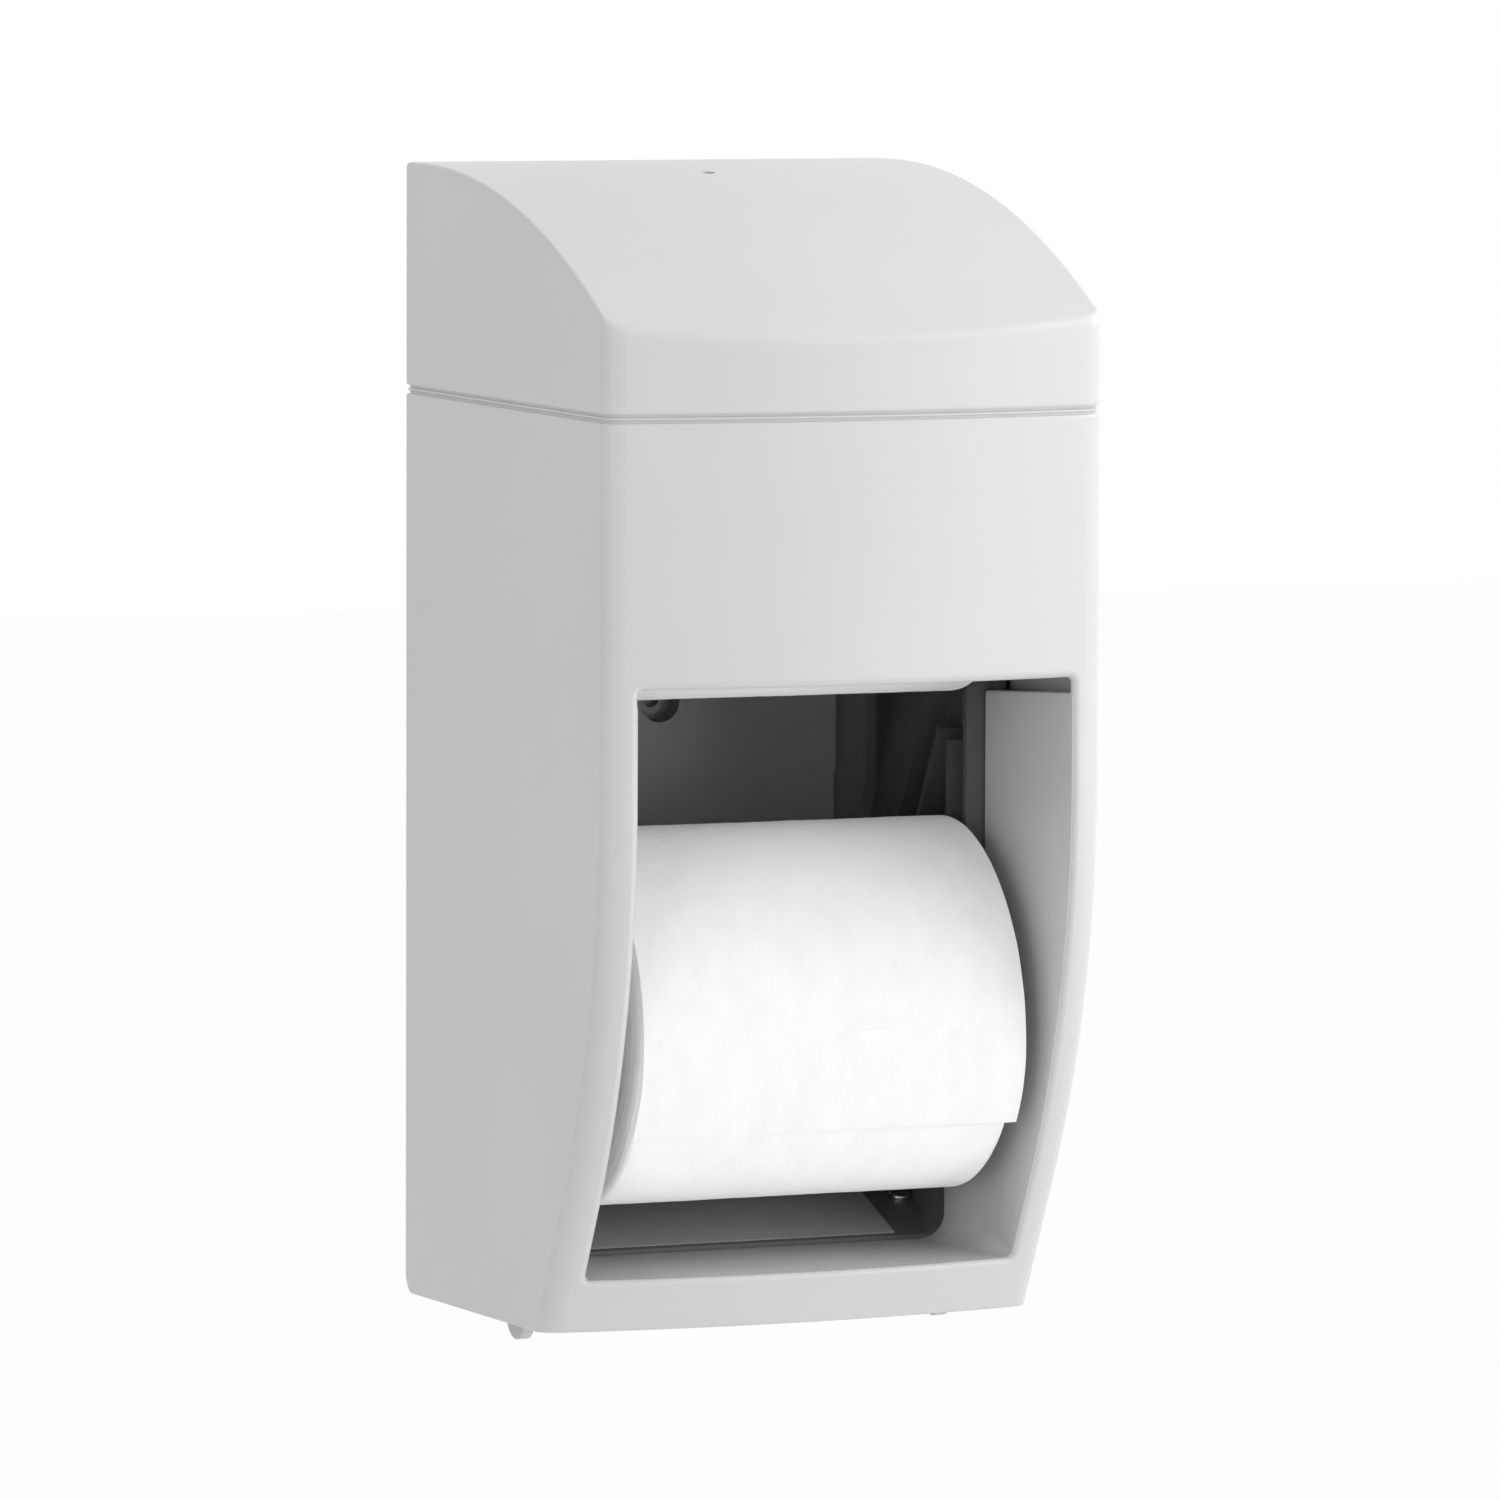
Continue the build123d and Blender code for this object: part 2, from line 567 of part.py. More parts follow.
def side_frame():
    """The right-hand frame: plate, tracks, rear flange, hinge ear, yoke pin hole and stop peg."""
    plate_points = [
        (PLATE_WALL, FRAME_REAR_LOW),
        (PLATE_WALL, FRAME_TOP),
        (FRAME_FRONT, FRAME_TOP),
        (FRAME_FRONT, FRAME_FOOT),
        (HINGE_DEPTH + EAR_RADIUS + EAR_FOOT, FRAME_LOW_EDGE),
        (HINGE_DEPTH - EAR_RADIUS - EAR_FOOT, FRAME_LOW_EDGE),
    ]
    frame = side_plate(plate_points, (FRAME_INNER, FRAME_OUTER))
    frame += track_ribs()
    flange_y = (-PLATE_WALL - FLANGE_WALL, -PLATE_WALL)
    frame += block((FLANGE_INNER, FRAME_OUTER), flange_y, (FRAME_REAR_LOW, FRAME_TOP))
    ear_bottom = HINGE_HEIGHT - EAR_DROP + EAR_RADIUS
    ear_y = (-HINGE_DEPTH - EAR_RADIUS, -HINGE_DEPTH + EAR_RADIUS)
    frame += block((EAR_INNER, EAR_OUTER), ear_y, (ear_bottom, EAR_TOP))
    frame += rod(EAR_RADIUS, (EAR_INNER, EAR_OUTER), HINGE_DEPTH, ear_bottom)
    frame += block((EAR_INNER, FRAME_INNER + RIB_SINK), ear_y, (FRAME_LOW_EDGE, EAR_TOP))
    frame += tray_boss()
    frame -= rod(HINGE_PIN_RADIUS, (0, EAR_OUTER + OVERCUT), HINGE_DEPTH, HINGE_HEIGHT)
    frame += rod(STOP_RADIUS, (TRACK_INNER, FRAME_INNER + RIB_SINK), STOP_DEPTH, stop_height())
    frame -= rod(YOKE_PIN_RADIUS, (TRACK_INNER, FRAME_OUTER + OVERCUT), YOKE_PIVOT_DEPTH, YOKE_PIVOT_HEIGHT)
    for x, height in frame_screw_places():
        frame -= wall_disc(SCREW_RADIUS, (x, height), (-PAD_DEPTH, 0))
    return frame


def tray_height(depth):
    """Height of the tray's upper face at a distance from the wall."""
    return TRAY_FRONT_HEIGHT + (TRAY_FRONT - depth) * tan(radians(TRAY_ANGLE))


def tray_screw_place():
    """(x, depth) of the right-hand tray screw."""
    return EAR_INNER - TRAY_SIDE_GAP - TRAY_SCREW_INSET, TRAY_SCREW_DEPTH


def on_tray(x, depth, shape):
    """Place a shape with its own Z along the tray's normal, at a point of the tray's upper face."""
    return Pos(x, -depth, tray_height(depth)) * Rot(TRAY_ANGLE, 0, 0) * shape


def tray_boss():
    """The lug on the right-hand frame that the tray is screwed to, with the screw's bore."""
    x, depth = tray_screw_place()
    low = -TRAY_WALL - TRAY_BOSS_LENGTH
    arm = Pos(0, 0, (low - TRAY_WALL) / 2) * Box(2 * TRAY_BOSS_RADIUS, 2 * TRAY_BOSS_RADIUS, TRAY_BOSS_LENGTH)
    reach = EAR_INNER - x + TRAY_BOSS_SINK
    bridge = Pos(reach / 2, 0, low + TRAY_WALL) * Box(reach, 2 * TRAY_BOSS_RADIUS, 2 * TRAY_WALL)
    boss = on_tray(x, depth, arm + bridge)
    web_y = (-HINGE_DEPTH, -TRAY_SCREW_DEPTH + TRAY_BOSS_RADIUS)
    boss += block((EAR_INNER, FRAME_INNER + RIB_SINK), web_y, (FRAME_LOW_EDGE, EAR_TOP))
    bore = on_tray(x, depth, Pos(0, 0, low / 2) * Cylinder(SCREW_RADIUS, -low - TRAY_BORE_END))
    return boss - bore


def bottom_tray():
    """The sloping floor under the rolls, with a flange on the back plate's pad and a turned-down lip."""
    half = EAR_INNER - TRAY_SIDE_GAP
    rear = PAD_DEPTH - PAD_STEP
    thick = TRAY_WALL / cos(radians(TRAY_ANGLE))
    rear_top = tray_height(rear)
    lip_rear = TRAY_FRONT - TRAY_WALL
    points = [
        (TRAY_FRONT, TRAY_FRONT_HEIGHT),
        (rear + TRAY_FLANGE_WALL, tray_height(rear + TRAY_FLANGE_WALL)),
        (rear + TRAY_FLANGE_WALL, rear_top + TRAY_FLANGE_HEIGHT),
        (rear, rear_top + TRAY_FLANGE_HEIGHT),
        (rear, rear_top - thick),
        (lip_rear, tray_height(lip_rear) - thick),
        (lip_rear, TRAY_FRONT_HEIGHT - TRAY_LIP),
        (TRAY_FRONT, TRAY_FRONT_HEIGHT - TRAY_LIP),
    ]
    tray = side_plate(points, (-half, half))
    x, depth = tray_screw_place()
    for side in (-1, 1):
        tray -= on_tray(side * x, depth, Cylinder(SCREW_RADIUS, 4 * TRAY_WALL))
    return tray


def instruction_label():
    """The bare label on the tray."""
    slope = radians(TRAY_ANGLE)
    depth = TRAY_FRONT - LABEL_SETBACK - LABEL_LENGTH / 2 * cos(slope)
    sheet = Pos(0, 0, LABEL_THICKNESS / 2) * Box(LABEL_WIDTH, LABEL_LENGTH, LABEL_THICKNESS)
    return on_tray(0, depth, sheet)


def screw(length):
    """A slotted pan-head screw: its head on +Z, its shank below Z = 0."""
    head = Pos(0, 0, SCREW_HEAD_HEIGHT / 2) * Cylinder(SCREW_HEAD_RADIUS, SCREW_HEAD_HEIGHT)
    head = fillet(head.edges().group_by(Axis.Z)[-1], SCREW_HEAD_ROUNDING)
    shank = Pos(0, 0, -length / 2) * Cylinder(SCREW_RADIUS, length)
    slot = Pos(0, 0, SCREW_HEAD_HEIGHT) * Box(3 * SCREW_HEAD_RADIUS, SCREW_SLOT, 2 * SCREW_SLOT_DEPTH)
    return head + shank - slot


def frame_screw_places():
    """The (x, height) of the screws that hold the side frames' flanges."""
    x = (FLANGE_INNER + FRAME_INNER) / 2
    return [(side * x, height) for side in (-1, 1) for height in FRAME_SCREW_HEIGHTS]


def keeper_screw_places():
    """The (x, height) of the keeper's screws."""
    height = KEEPER_BOTTOM + KEEPER_SCREW_RISE
    return [(side * KEEPER_SCREW_SPACING / 2, height) for side in (-1, 1)]


def wall_facing_screws(places, clamped):
    """Screws driven towards the wall, which clamp something of one thickness on the back plate."""
    group = []
    length = clamped + PLATE_WALL * SCREW_BITE_SHARE
    for x, height in places:
        group.append(Pos(x, -PLATE_WALL - clamped, height) * Rot(90, 0, 0) * screw(length))
    return Compound(group)


def tray_screws():
    """The two screws that hold the tray on the frames' lugs."""
    x, depth = tray_screw_place()
    length = TRAY_WALL + TRAY_SCREW_BITE
    return Compound([on_tray(side * x, depth, screw(length)) for side in (-1, 1)])


def hinge_pin():
    """The right-hand hinge pin, with its head inside the ear."""
    end = INNER_HALF_WIDTH - HINGE_PIN_END_GAP
    pin = rod(HINGE_PIN_RADIUS, (EAR_INNER, end), HINGE_DEPTH, HINGE_HEIGHT)
    return pin + rod(HINGE_HEAD_RADIUS, (EAR_INNER - HINGE_HEAD_LENGTH, EAR_INNER), HINGE_DEPTH, HINGE_HEIGHT)


def spindle(height):
    """A moulded spindle: finned barrel, two collars inside the core, and a journal at each end."""
    half = ROLL_WIDTH / 2 - SPINDLE_END_INSET
    collar_radius = CORE_RADIUS - CORE_WALL - SPINDLE_CLEARANCE
    body = rod(SPINDLE_BARREL_RADIUS, (-half, half), ROLL_DEPTH, height)
    body -= rod(SPINDLE_BARREL_RADIUS - SPINDLE_BARREL_WALL,
                (-half + SPINDLE_COLLAR_WIDTH, half - SPINDLE_COLLAR_WIDTH), ROLL_DEPTH, height)
    fin_length = 2 * half - SPINDLE_COLLAR_WIDTH
    fin_height = collar_radius - SPINDLE_BARREL_RADIUS + SPINDLE_FIN_SINK
    fin_centre = collar_radius - fin_height / 2 - SPINDLE_FIN_INSET
    for number in range(SPINDLE_FINS):
        turn = Pos(0, -ROLL_DEPTH, height) * Rot(360 / SPINDLE_FINS * number, 0, 0)
        body += turn * Pos(0, 0, fin_centre) * Box(fin_length, SPINDLE_FIN_WALL, fin_height)
    for side in (-1, 1):
        collar = (side * half, side * (half - SPINDLE_COLLAR_WIDTH))
        body += rod(collar_radius, collar, ROLL_DEPTH, height)
        end = FRAME_INNER - JOURNAL_END_GAP
        body += rod(JOURNAL_RADIUS, (side * (half - JOURNAL_SINK), side * end), ROLL_DEPTH, height)
    return body


def core(height):
    """The cardboard core of a roll."""
    span = (-ROLL_WIDTH / 2, ROLL_WIDTH / 2)
    return rod(CORE_RADIUS, span, ROLL_DEPTH, height) - rod(CORE_RADIUS - CORE_WALL, span, ROLL_DEPTH, height)


def tissue(height):
    """The wound paper of a roll."""
    span = (-ROLL_WIDTH / 2, ROLL_WIDTH / 2)
    return rod(ROLL_RADIUS, span, ROLL_DEPTH, height) - rod(CORE_RADIUS, span, ROLL_DEPTH, height)


def link_plate(start, end, width, x_range):
    """A straight link between two (depth, height) points."""
    run = end[0] - start[0]
    rise = end[1] - start[1]
    length = sqrt(run**2 + rise**2)
    across = (-rise / length * width / 2, run / length * width / 2)
    points = [
        (start[0] + across[0], start[1] + across[1]),
        (end[0] + across[0], end[1] + across[1]),
        (end[0] - across[0], end[1] - across[1]),
        (start[0] - across[0], start[1] - across[1]),
    ]
    return side_plate(points, x_range)


def release_arm():
    """The right-hand arm of the yoke: hook under the reserve journal, tail, and link to the cross rod."""
    layer = (YOKE_INNER, YOKE_OUTER)
    pivot = (YOKE_PIVOT_DEPTH, YOKE_PIVOT_HEIGHT)
    rod_end = (YOKE_ROD_DEPTH, YOKE_ROD_HEIGHT)
    hook_top = UPPER_ROLL_HEIGHT - JOURNAL_RADIUS - HOOK_GAP
    hook_front = ROLL_DEPTH + TRACK_HALF - HOOK_FRONT_GAP
    hook_rear = ROLL_DEPTH - TRACK_HALF - TRACK_RIB_WALL - HOOK_REAR_GAP
    neck = (hook_rear - NECK_INSET, hook_top - HOOK_THICKNESS / 2)
    arm = rod(YOKE_BOSS_RADIUS, layer, *pivot)
    arm += block(layer, (-hook_front, -hook_rear + HOOK_OVERLAP), (hook_top - HOOK_THICKNESS, hook_top))
    arm += link_plate(pivot, neck, YOKE_SLIM_WIDTH, layer)
    arm += link_plate(pivot, (TAIL_DEPTH, TAIL_BOTTOM), YOKE_SLIM_WIDTH, layer)
    arm += link_plate(pivot, rod_end, YOKE_LINK_WIDTH, layer)
    arm += rod(YOKE_EYE_RADIUS, layer, *rod_end)
    arm -= rod(YOKE_PIN_RADIUS + YOKE_CLEARANCE, (0, FAR), *pivot)
    arm -= rod(YOKE_ROD_RADIUS, (0, FAR), *rod_end)
    return arm


def release_rod():
    """The steel cross rod that joins both arms and weighs them back to their stops."""
    return rod(YOKE_ROD_RADIUS, (-YOKE_OUTER, YOKE_OUTER), YOKE_ROD_DEPTH, YOKE_ROD_HEIGHT)


def yoke_pin():
    """The right-hand pivot pin of the yoke, fixed in the frame, with a head that keeps the arm on."""
    pivot = (YOKE_PIVOT_DEPTH, YOKE_PIVOT_HEIGHT)
    head_outer = YOKE_INNER - YOKE_HEAD_GAP
    pin = rod(YOKE_PIN_RADIUS, (head_outer, FRAME_OUTER), *pivot)
    return pin + rod(YOKE_HEAD_RADIUS, (head_outer - YOKE_HEAD_LENGTH, head_outer), *pivot)


def latch_lever():
    """The rocking latch: press pad under the keyhole at one end, tooth at the other."""
    half = LATCH_WIDTH / 2
    layer = (-half, half)
    low = LATCH_PIVOT_HEIGHT - LATCH_THICKNESS / 2
    high = LATCH_PIVOT_HEIGHT + LATCH_THICKNESS / 2
    front = KEYHOLE_DEPTH + PRESS_LENGTH / 2
    press_rear = KEYHOLE_DEPTH - PRESS_LENGTH / 2
    lever = block(layer, (-front, -TOOTH_REAR), (low, high))
    lever += block(layer, (-front, -press_rear), (low, HEIGHT - PRESS_TOP_DROP))
    lever += block(layer, (-TOOTH_REAR - TOOTH_THICKNESS, -TOOTH_REAR), (HEIGHT - TOOTH_DROP, high))
    lever += rod(LATCH_BOSS_RADIUS, layer, LATCH_PIVOT_DEPTH, LATCH_PIVOT_HEIGHT)
    bore = rod(LATCH_PIN_RADIUS + LATCH_CLEARANCE, (-FAR, FAR), LATCH_PIVOT_DEPTH, LATCH_PIVOT_HEIGHT)
    return lever - bore


def latch_bracket():
    """The cradle under the dome that carries the latch's pin and its leaf spring."""
    inner = LATCH_WIDTH / 2 + CHEEK_GAP
    outer = inner + CHEEK_WALL
    depth_range = (-BRACKET_FRONT, -BRACKET_REAR)
    bracket = block((-outer, outer), depth_range, (BRACKET_BOTTOM, HEIGHT))
    hollow_front = BRACKET_FRONT - CHEEK_WALL
    bracket -= block((-inner, inner), (-hollow_front, FAR), (BRACKET_BOTTOM + BRACKET_FLOOR, HEIGHT))
    floor_rear = KEYHOLE_DEPTH - PRESS_LENGTH / 2
    bracket -= block((-inner, inner), (-floor_rear, FAR), (BRACKET_BOTTOM - OVERCUT, HEIGHT))
    bracket -= rod(LATCH_PIN_RADIUS, (-FAR, FAR), LATCH_PIVOT_DEPTH, LATCH_PIVOT_HEIGHT)
    return bracket & cover_volume(COVER_WALL, OVERCUT, -OVERCUT)


def latch_pin():
    """The pin that the latch rocks on."""
    outer = LATCH_WIDTH / 2 + CHEEK_GAP + CHEEK_WALL
    return rod(LATCH_PIN_RADIUS, (-outer, outer), LATCH_PIVOT_DEPTH, LATCH_PIVOT_HEIGHT)


def latch_spring():
    """A bent leaf spring on the bracket's floor, under the press pad."""
    floor = BRACKET_BOTTOM + BRACKET_FLOOR
    top = LATCH_PIVOT_HEIGHT - LATCH_THICKNESS / 2 - SPRING_GAP
    rear = KEYHOLE_DEPTH - PRESS_LENGTH / 2 + SPRING_END_INSET
    front = KEYHOLE_DEPTH + PRESS_LENGTH / 2
    tip = rear + SPRING_TIP_INSET
    thick = SPRING_THICKNESS
    points = [
        (rear, floor),
        (front, floor),
        (front + thick, floor + 1.5 * thick),
        (tip, top),
        (tip - thick, top - thick),
        (front - thick, floor + thick),
        (rear, floor + thick),
    ]
    return side_plate(points, (-SPRING_WIDTH / 2, SPRING_WIDTH / 2))


def latch_keeper():
    """The sheet-metal keeper on the back plate, with the lip that the latch's tooth drops behind."""
    half = KEEPER_WIDTH / 2
    lip_rear = TOOTH_REAR + TOOTH_THICKNESS + KEEPER_LIP_GAP
    base_y = (-PLATE_WALL - KEEPER_WALL, -PLATE_WALL)
    lip_front = lip_rear + KEEPER_WALL
    shelf_top = KEEPER_SHELF + KEEPER_WALL
    keeper = block((-half, half), base_y, (KEEPER_BOTTOM, shelf_top))
    keeper += block((-half, half), (-lip_front, -PLATE_WALL), (KEEPER_SHELF, shelf_top))
    keeper += block((-half, half), (-lip_front, -lip_rear), (KEEPER_SHELF, HEIGHT - KEEPER_LIP_DROP))
    for x, height in keeper_screw_places():
        keeper -= wall_disc(SCREW_RADIUS, (x, height), (-FAR, 0))
    return keeper


def make_all():
    """Every sub-part by name."""
    frame_right, frame_left = both_sides(side_frame())
    arm_right, arm_left = both_sides(release_arm())
    pieces = {
        "back_plate": back_plate(),
        "side_frame_left": frame_left,
        "side_frame_right": frame_right,
        "bottom_tray": bottom_tray(),
        "instruction_label": instruction_label(),
        "frame_screws": wall_facing_screws(frame_screw_places(), FLANGE_WALL),
        "tray_screws": tray_screws(),
        "latch_keeper": latch_keeper(),
        "keeper_screws": wall_facing_screws(keeper_screw_places(), KEEPER_WALL),
        "hinge_pins": Compound(list(both_sides(hinge_pin()))),
        "yoke_pins": Compound(list(both_sides(yoke_pin()))),
        "cover_shell": cover_shell(),
        "cover_cap": cover_cap(),
        "latch_bracket": latch_bracket(),
        "latch_pin": latch_pin(),
        "latch_lever": latch_lever(),
        "latch_spring": latch_spring(),
        "release_arm_left": arm_left,
        "release_arm_right": arm_right,
        "release_rod": release_rod(),
    }
    for place, height in (("lower", LOWER_ROLL_HEIGHT), ("upper", UPPER_ROLL_HEIGHT)):
        pieces[place + "_spindle"] = spindle(height)
        pieces[place + "_core"] = core(height)
        pieces[place + "_tissue"] = tissue(height)
    return pieces


os.makedirs("parts", exist_ok=True)
for piece_name, piece in make_all().items():
    write(piece_name, piece)
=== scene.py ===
import math
import random

import bmesh
import bpy
import numpy as np
from mathutils import Matrix, Vector, noise


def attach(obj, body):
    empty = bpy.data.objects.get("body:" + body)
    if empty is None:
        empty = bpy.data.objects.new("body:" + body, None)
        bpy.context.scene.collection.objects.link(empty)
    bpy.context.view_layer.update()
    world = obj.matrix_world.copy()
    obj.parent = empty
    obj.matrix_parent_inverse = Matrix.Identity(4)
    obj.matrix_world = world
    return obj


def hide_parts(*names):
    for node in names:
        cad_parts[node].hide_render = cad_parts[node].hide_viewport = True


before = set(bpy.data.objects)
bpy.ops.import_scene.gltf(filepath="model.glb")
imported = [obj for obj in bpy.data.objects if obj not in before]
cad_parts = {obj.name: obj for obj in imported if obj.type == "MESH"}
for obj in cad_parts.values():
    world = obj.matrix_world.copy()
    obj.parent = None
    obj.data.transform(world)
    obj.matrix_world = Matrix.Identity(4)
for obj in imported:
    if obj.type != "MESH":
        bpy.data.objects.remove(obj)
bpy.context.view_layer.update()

# Millimetres, with heights from the cover's rear bottom edge. put() turns them into the row frame.
MM = 0.001
HEIGHT = 343.0
HALF_WIDTH = 78.0
WALL = 2.5
REAR = -0.5
CORNER_RADIUS = 8.0
BOW_RADIUS = 384.25
BOW_CENTRE = 209.25
CORNER_X = 70.0
CORNER_Y = BOW_CENTRE - math.sqrt((BOW_RADIUS - CORNER_RADIUS) ** 2 - CORNER_X**2)
BEND_Y = 93.0
BEND_Z = 165.0
BEND_ANGLE = math.radians(27.5)
BOTTOM_SLOPE = 0.03502
DOME_Y = -13.0
DOME_Z = 37.0
DOME_RADIUS = 306.0
SEAM_LOW = 273.5
SEAM_HIGH = 276.1
WINDOW_HALF = 68.0
WINDOW_LOW = 20.5
WINDOW_HIGH = 197.0
WINDOW_CORNER = 1.6
ROLL_DEPTH = 95.0
ROLL_RADIUS = 55.7
ROLL_HALF = 60.0
CORE_RADIUS = 21.5
LOWER_AXIS = 94.0
UPPER_AXIS = 243.0


def put(points):
    """Millimetre points as row-frame metres."""
    co = np.array(points, float).reshape(-1, 3) * MM
    co[:, 2] -= HEIGHT / 2 * MM
    return co


def smooth(low, high, value):
    """0 below low, 1 above high, and a soft rise between."""
    share = min(1.0, max(0.0, (value - low) / (high - low)))
    return share * share * (3 - 2 * share)


def placed(name, mesh, body, material, slot, nodes=(), smooth_to=35.0):
    """A mesh as an object on a body, with its material and the nodes that it stands for. Its slot is not
    used.
    """
    piece = bpy.data.objects.new(name, mesh)
    bpy.context.scene.collection.objects.link(piece)
    mesh.materials.append(material)
    mesh.polygons.foreach_set("use_smooth", [True] * len(mesh.polygons))
    mesh.set_sharp_from_angle(angle=math.radians(smooth_to))
    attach(piece, body)
    if nodes:
        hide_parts(*nodes)
    return piece


def new_piece(name, points, faces, *looks):
    """A mesh object from millimetre points. The looks are the rest of what placed() takes."""
    mesh = bpy.data.meshes.new(name)
    mesh.from_pydata([tuple(p) for p in put(points)], [], [tuple(f) for f in faces])
    mesh.validate()
    form = bmesh.new()
    form.from_mesh(mesh)
    bmesh.ops.recalc_face_normals(form, faces=form.faces)
    form.to_mesh(mesh)
    form.free()
    return placed(name, mesh, *looks)


# The cover's surface rule


def swept_y(plan_y, height):
    """Where a plan point lies at a height, once the front has leaned back below the bend."""
    drop = BEND_Z - height
    if drop <= 0:
        return plan_y
    radius = BEND_Y - plan_y
    arc = radius * math.sin(BEND_ANGLE)
    if drop <= arc:
        return BEND_Y - math.sqrt(radius * radius - drop * drop)
    return BEND_Y - radius * math.cos(BEND_ANGLE) + (drop - arc) * math.tan(BEND_ANGLE)


def front_y(x, height, inset=0.0):
    """The bowed front at one x and height."""
    plan = BOW_CENTRE - math.sqrt((BOW_RADIUS - inset) ** 2 - x * x)
    return swept_y(plan, height)


def dome_z(y, inset=0.0):
    """Height of the dome at a distance in front of the wall."""
    if y > DOME_Y:
        return DOME_Z + DOME_RADIUS - inset
    return DOME_Z + math.sqrt((DOME_RADIUS - inset) ** 2 - (y - DOME_Y) ** 2)


def conic(a, b, c, t, weight=0.72):
    """A point of a round corner from a to c with its sharp corner at b."""
    u = 1 - t
    return (u * u * a + 2 * weight * u * t * b + t * t * c) / (u * u + 2 * weight * u * t + t * t)


def column(x, y, normal, share=None):
    """One upright line of the cover: its plan point, inward normal, and share of the way to the corner."""
    return {"x": x, "y": y, "n": normal, "share": share}


# The upright corner: tighter where it leaves the side, slower where it runs into the front
CORNER_STEPS = 12
CORNER_WEIGHT = 0.76
NUDGE = 0.002
TANGENT = math.atan2(CORNER_Y - BOW_CENTRE, CORNER_X)
TANGENT_LENGTH = CORNER_RADIUS * math.tan(-TANGENT / 2)
CORNER_TIP = (HALF_WIDTH, CORNER_Y - TANGENT_LENGTH)
CORNER_END = (CORNER_X + CORNER_RADIUS * math.cos(TANGENT), CORNER_Y + CORNER_RADIUS * math.sin(TANGENT))
SIDE_TANGENT = 4.4
SIDE_END = CORNER_TIP[1] + SIDE_TANGENT
SIDE_SPAN = SIDE_END - REAR

# Upright lines of the cover from the right rear edge, round the front, to the left rear edge
KEY_REAR = -44.0
KEY_FRONT = -56.0
SIDE_PLACES = (
    -0.5, -0.71, -1.11, -1.7, -2.4, -3.6, -5.0, -6.9, -13.0, -19.7, -26.9, -34.0, -39.0,
    KEY_REAR, KEY_FRONT, -63.0, -71.0, -79.0, -87.0, -95.0, -103.0, -111.0, -119.0, -127.0,
    -135.0, -142.0, -148.5, -154.0, -158.5, -161.0,
)
REAR_EASE = (0.6, 0.22, 0.03)
FOOT_DEPTH = 5.0
FOOT_HEIGHT = 8.5
SETTLING_ROUNDS = 6
FRONT_X = (70.2, 68.9, 67.6, 66.3, 65.0, 61.0, 56.0, 50.0, 44.0, 38.0, 32.0, 26.0, 20.0, 14.0, 8.0, 3.0)


def rear_ease(y):
    """How far the outer skin is drawn in at its rear edge, which rounds that edge."""
    return dict(zip(SIDE_PLACES, REAR_EASE)).get(y, 0.0)


def cover_columns():
    """All upright lines, in that order."""
    half = [column(HALF_WIDTH, y, (-1.0, 0.0), (y - REAR) / SIDE_SPAN) for y in SIDE_PLACES]
    start, tip, end = (np.array(p) for p in ((HALF_WIDTH, SIDE_END), CORNER_TIP, CORNER_END))
    for step in range(CORNER_STEPS):
        share = step / CORNER_STEPS
        here = conic(start, tip, end, share, CORNER_WEIGHT)
        ahead = conic(start, tip, end, share + NUDGE, CORNER_WEIGHT)
        behind = conic(start, tip, end, max(0.0, share - NUDGE), CORNER_WEIGHT)
        run = (ahead - behind) / np.linalg.norm(ahead - behind)
        half.append(column(here[0], here[1], (run[1], -run[0])))
    for x in (CORNER_END[0],) + FRONT_X:
        y = BOW_CENTRE - math.sqrt(BOW_RADIUS**2 - x * x)
        half.append(column(x, y, (-x / BOW_RADIUS, (BOW_CENTRE - y) / BOW_RADIUS)))
    middle = [column(0.0, BOW_CENTRE - BOW_RADIUS, (0.0, 1.0))]
    left = [column(-c["x"], c["y"], (-c["n"][0], c["n"][1]), c["share"]) for c in reversed(half)]
    return half + middle + left


COLUMNS = cover_columns()
CORNER_FIRST = len(SIDE_PLACES)
FRONT_FIRST = CORNER_FIRST + CORNER_STEPS


def on_cover(col, height, inset=0.0):
    """A point of the cover's surface on one upright line, with the outer skin eased in at its rear edge."""
    if inset < WALL:
        inset += rear_ease(col["y"])
    x = col["x"] + col["n"][0] * inset
    if col["share"] is None:
        return x, swept_y(col["y"] + col["n"][1] * inset, height), height
    front = swept_y(SIDE_END, height)
    return x, REAR + (front - REAR) * col["share"], height


def foot_lift(y):
    """How far the bottom edge rises towards the rear edge, which rounds that corner."""
    near = max(0.0, (FOOT_DEPTH - (REAR - y)) / FOOT_DEPTH)
    return FOOT_HEIGHT * (1 - math.sqrt(1 - near * near))


def above_bottom(col, rise, inset=0.0):
    """A point of the cover's surface at a rise over the sloping bottom edge."""
    height = rise
    for _ in range(SETTLING_ROUNDS):
        y = on_cover(col, height, inset)[1]
        height = -y * BOTTOM_SLOPE + rise + foot_lift(y)
    return on_cover(col, height, inset)


def row_points(row, columns=None):
    """One row of the cover's skin: ("z", height, inset) or ("b", rise over the bottom edge, inset)."""
    kind, value, inset = row
    place = on_cover if kind == "z" else above_bottom
    return [place(col, value, inset) for col in columns or COLUMNS]


